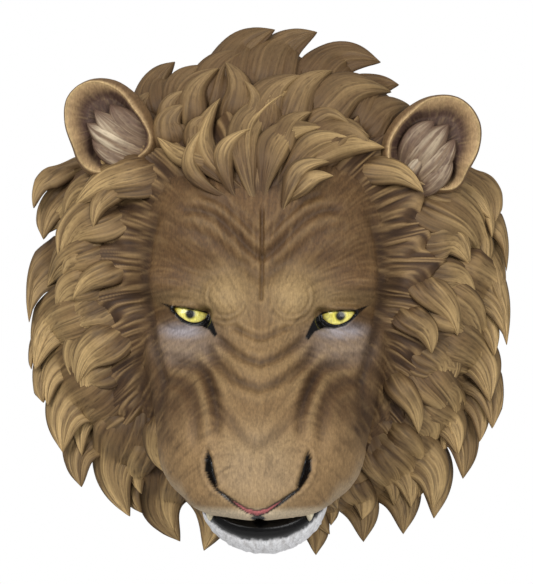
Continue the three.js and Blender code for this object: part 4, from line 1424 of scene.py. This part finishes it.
def make_ear(name):
    """An ear: a hollow, a band rising to its crest, and beyond the crest the back falling to the mane.

    row tells where a ring lies: 0 in the hollow, 1 to 2 up the band, and 2 to 3 down the back.
    """
    ear = EARS[name]
    side = -1 if name == "left" else 1
    turns = 190
    turn = 2 * math.pi * np.arange(turns)[None] / turns
    outline, crest, hollow = (ear_around(ear[k], turn) for k in ("outline", "crest", "hollow"))
    u, v, w = (np.linspace(0, 1, n)[:, None] for n in (22, 34, 40))
    u, w = u[:-1], w[1:]
    crest_off = -EAR_LOW * smooth(-0.4, -0.95, np.cos(turn))
    band = crest - hollow
    bowl = smooth(0, 1, v) ** mix(1.3, 0.8, clamp(band / 16))
    over = smooth(0, 0.35, w)
    down = smooth(0.25, 1, w)
    back_r = mix(crest, outline, np.sin(np.pi / 2 * clamp(w / 0.35))) * mix(1, 0.5, down)
    back_off = crest_off - 1.2 * (outline - crest) * over - 2.5 * over - EAR_BACK * down
    rings = [
        (u * hollow, -EAR_DEEP - 1.5 * (1 - u**2) + crest_off, 0.0),
        (mix(hollow, crest, v), mix(-EAR_DEEP, 0, bowl) + crest_off, 1 + v),
        (back_r, back_off, 2 + w),
    ]
    r, off, row = (np.concatenate([np.broadcast_to(ring[k], ring[0].shape) for ring in rings])
                   for k in range(3))
    turned = np.broadcast_to(turn, r.shape)
    r[0] = 0.05
    grain = noise(turned * 26 + 30, r / 9 + row, 91)
    off = off + grain * 0.3 + 0.8 * bell(row - 2, 0.07)
    lean = smooth(2.3, 3, row) * EAR_LEAN / math.hypot(ear["x"], ear["z"])
    p = np.stack([ear["x"] * (1 - lean) + side * r * np.sin(turned), np.maximum(ear["depth"] + off, 1),
                  ear["z"] * (1 - lean) + r * np.cos(turned)], -1)
    count = len(p)
    first_cap = np.stack([np.full(turns - 2, 0), np.arange(1, turns - 1), np.arange(2, turns)], -1)
    caps = np.concatenate([first_cap, (count - 1) * turns + first_cap[:, ::-1]])
    piece = mesh_piece(f"ear_{name}", p.reshape(-1, 3), grid_faces(count, turns, closed=True), caps)
    outward(piece)
    wide = smooth(6, 14, band)
    c = coats(
        "ear_rim", r.shape,
        ("ear_dark", smooth(mix(1.96, 1.75, wide), mix(1.65, 1.15, wide), row)),
        # painted shade down in the hollow
        ("deep", smooth(1.25, 0.9, row) * 0.35),
        # painted highlight along the crest
        ("ear_light", bell(row - 1.98, mix(0.04, 0.1, wide)) * 0.6),
        ("fringe", smooth(2.02, 2.12, row) * 0.85),
        ("deep", clamp(-grain * 0.18)),
        ("ear_light", clamp(grain * 0.2) * (row < 2.1)),
    )
    return finish_piece(piece, c.reshape(-1, 3), np.zeros(r.size))


def make_tufts(name):
    """The hair in an ear."""
    ear = EARS[name]
    leaves = []
    t = np.linspace(0, TIP_END, 56)
    off = -EAR_DEEP - 3 + 7 * smooth(0, 0.5, t) - 2 * smooth(0.7, 1, t)
    out = np.tile([0.0, 1.0, 0.0], (len(t), 1))
    share = mix(0.8, 1, smooth(0, 0.3, t)) * (1 - clamp((t - 0.3) / 0.7) ** 3.4)
    high = 5 * np.sqrt(share)
    for i, (root, tip, width, bend, light) in enumerate(TUFTS[name]):
        flat = bowed(root, tip, bend, t)
        length = math.dist(root, tip)
        outer = 1 if bend > 0 else -1
        path = np.stack([ear["x"] + flat[:, 0], ear["depth"] + off, ear["z"] + flat[:, 1]], -1)
        made = leaf(path, out, width, (share, share), outer, high, length, 200 + i + len(name), TUFT_STRAND)
        leaves.append((made, tuft_paint(made, light)))
    leaves_piece(f"ear_tuft_{name}", leaves)


# The camera, the lights and the floor.
VIEW_YAW = 2.5  # degrees that the camera stands to the side
VIEW_REACH = 2540.0
VIEW_PIVOT = (0.0, 60.0, 0.0)
LENS = 210.4
SENSOR_HEIGHT = 36
PHOTO = (533, 584)  # the picture's width and height in pixels
PHOTO_AXIS = (264.5, 291.0)  # pixel on the camera's axis


def make_camera():
    """The camera, in front of the mask and a little to its side."""
    yaw = math.radians(VIEW_YAW)
    at = np.array(VIEW_PIVOT) + VIEW_REACH * np.array([math.sin(yaw), math.cos(yaw), 0])
    data = bpy.data.cameras.new("camera")
    data.sensor_fit = "VERTICAL"
    data.sensor_height = SENSOR_HEIGHT
    data.lens = LENS
    data.shift_x = (PHOTO[0] / 2 - PHOTO_AXIS[0]) / PHOTO[1]
    data.shift_y = -(PHOTO[1] / 2 - PHOTO_AXIS[1]) / PHOTO[1]
    camera = bpy.data.objects.new("camera", data)
    camera.location = place(at)
    camera.rotation_euler = (math.pi / 2, 0, yaw)
    bpy.context.scene.collection.objects.link(camera)
    bpy.context.scene.camera = camera


LIT = (0, -0.06, -0.1)  # where the lights point, in metres
LIGHTS = [  # name, place in metres, size, power
    ("key", (-1.2, -2.2, 1.0), 1.2, 42),
    ("fill", (1.2, -2.2, 0.3), 1.4, 28),
    ("top", (0.0, -0.6, 1.9), 1.2, 6),
]
WHITE = (1, 1, 1, 1)
SKY_LIGHT = 0.34
FLOOR = {"half": 1.6, "at": (0, -0.2, -1.4), "grey": (0.8, 0.8, 0.8, 1)}


def make_light(name, at, size, power):
    """A square light that points at the mask."""
    data = bpy.data.lights.new(name, "AREA")
    data.size = size
    data.energy = power
    light = bpy.data.objects.new(name, data)
    light.location = at
    light.rotation_euler = (Vector(LIT) - Vector(at)).to_track_quat("-Z", "Y").to_euler()
    bpy.context.scene.collection.objects.link(light)


def make_stage():
    """A white world that lights softly, the lights, and a floor far below the mask."""
    world = bpy.data.worlds.new("studio")
    world.use_nodes = True
    tree = world.node_tree
    tree.nodes.clear()
    seen = node(tree, "Background", values={"Color": WHITE, "Strength": 1.0}).outputs["Background"]
    light = node(tree, "Background", values={"Color": WHITE, "Strength": SKY_LIGHT}).outputs["Background"]
    direct = node(tree, "LightPath").outputs["Is Camera Ray"]
    picked = node(tree, "MixShader", {"Fac": direct, 1: light, 2: seen}).outputs["Shader"]
    node(tree, "OutputWorld", {"Surface": picked})
    bpy.context.scene.world = world
    bpy.context.scene.view_settings.view_transform = "Standard"

    for row in LIGHTS:
        make_light(*row)

    bpy.ops.mesh.primitive_plane_add(size=2 * FLOOR["half"], location=FLOOR["at"])
    floor = bpy.context.object
    floor.name = "floor"
    material = bpy.data.materials.new("floor")
    material.use_nodes = True
    material.node_tree.nodes["Principled BSDF"].inputs["Base Color"].default_value = FLOOR["grey"]
    floor.data.materials.append(material)


make_camera()
make_stage()
make_face()
make_base()
for side in EYES:
    make_eye(side)
make_jaw()
make_fangs()
make_band()
make_manes()
for ear_name in EARS:
    make_ear(ear_name)
    make_tufts(ear_name)
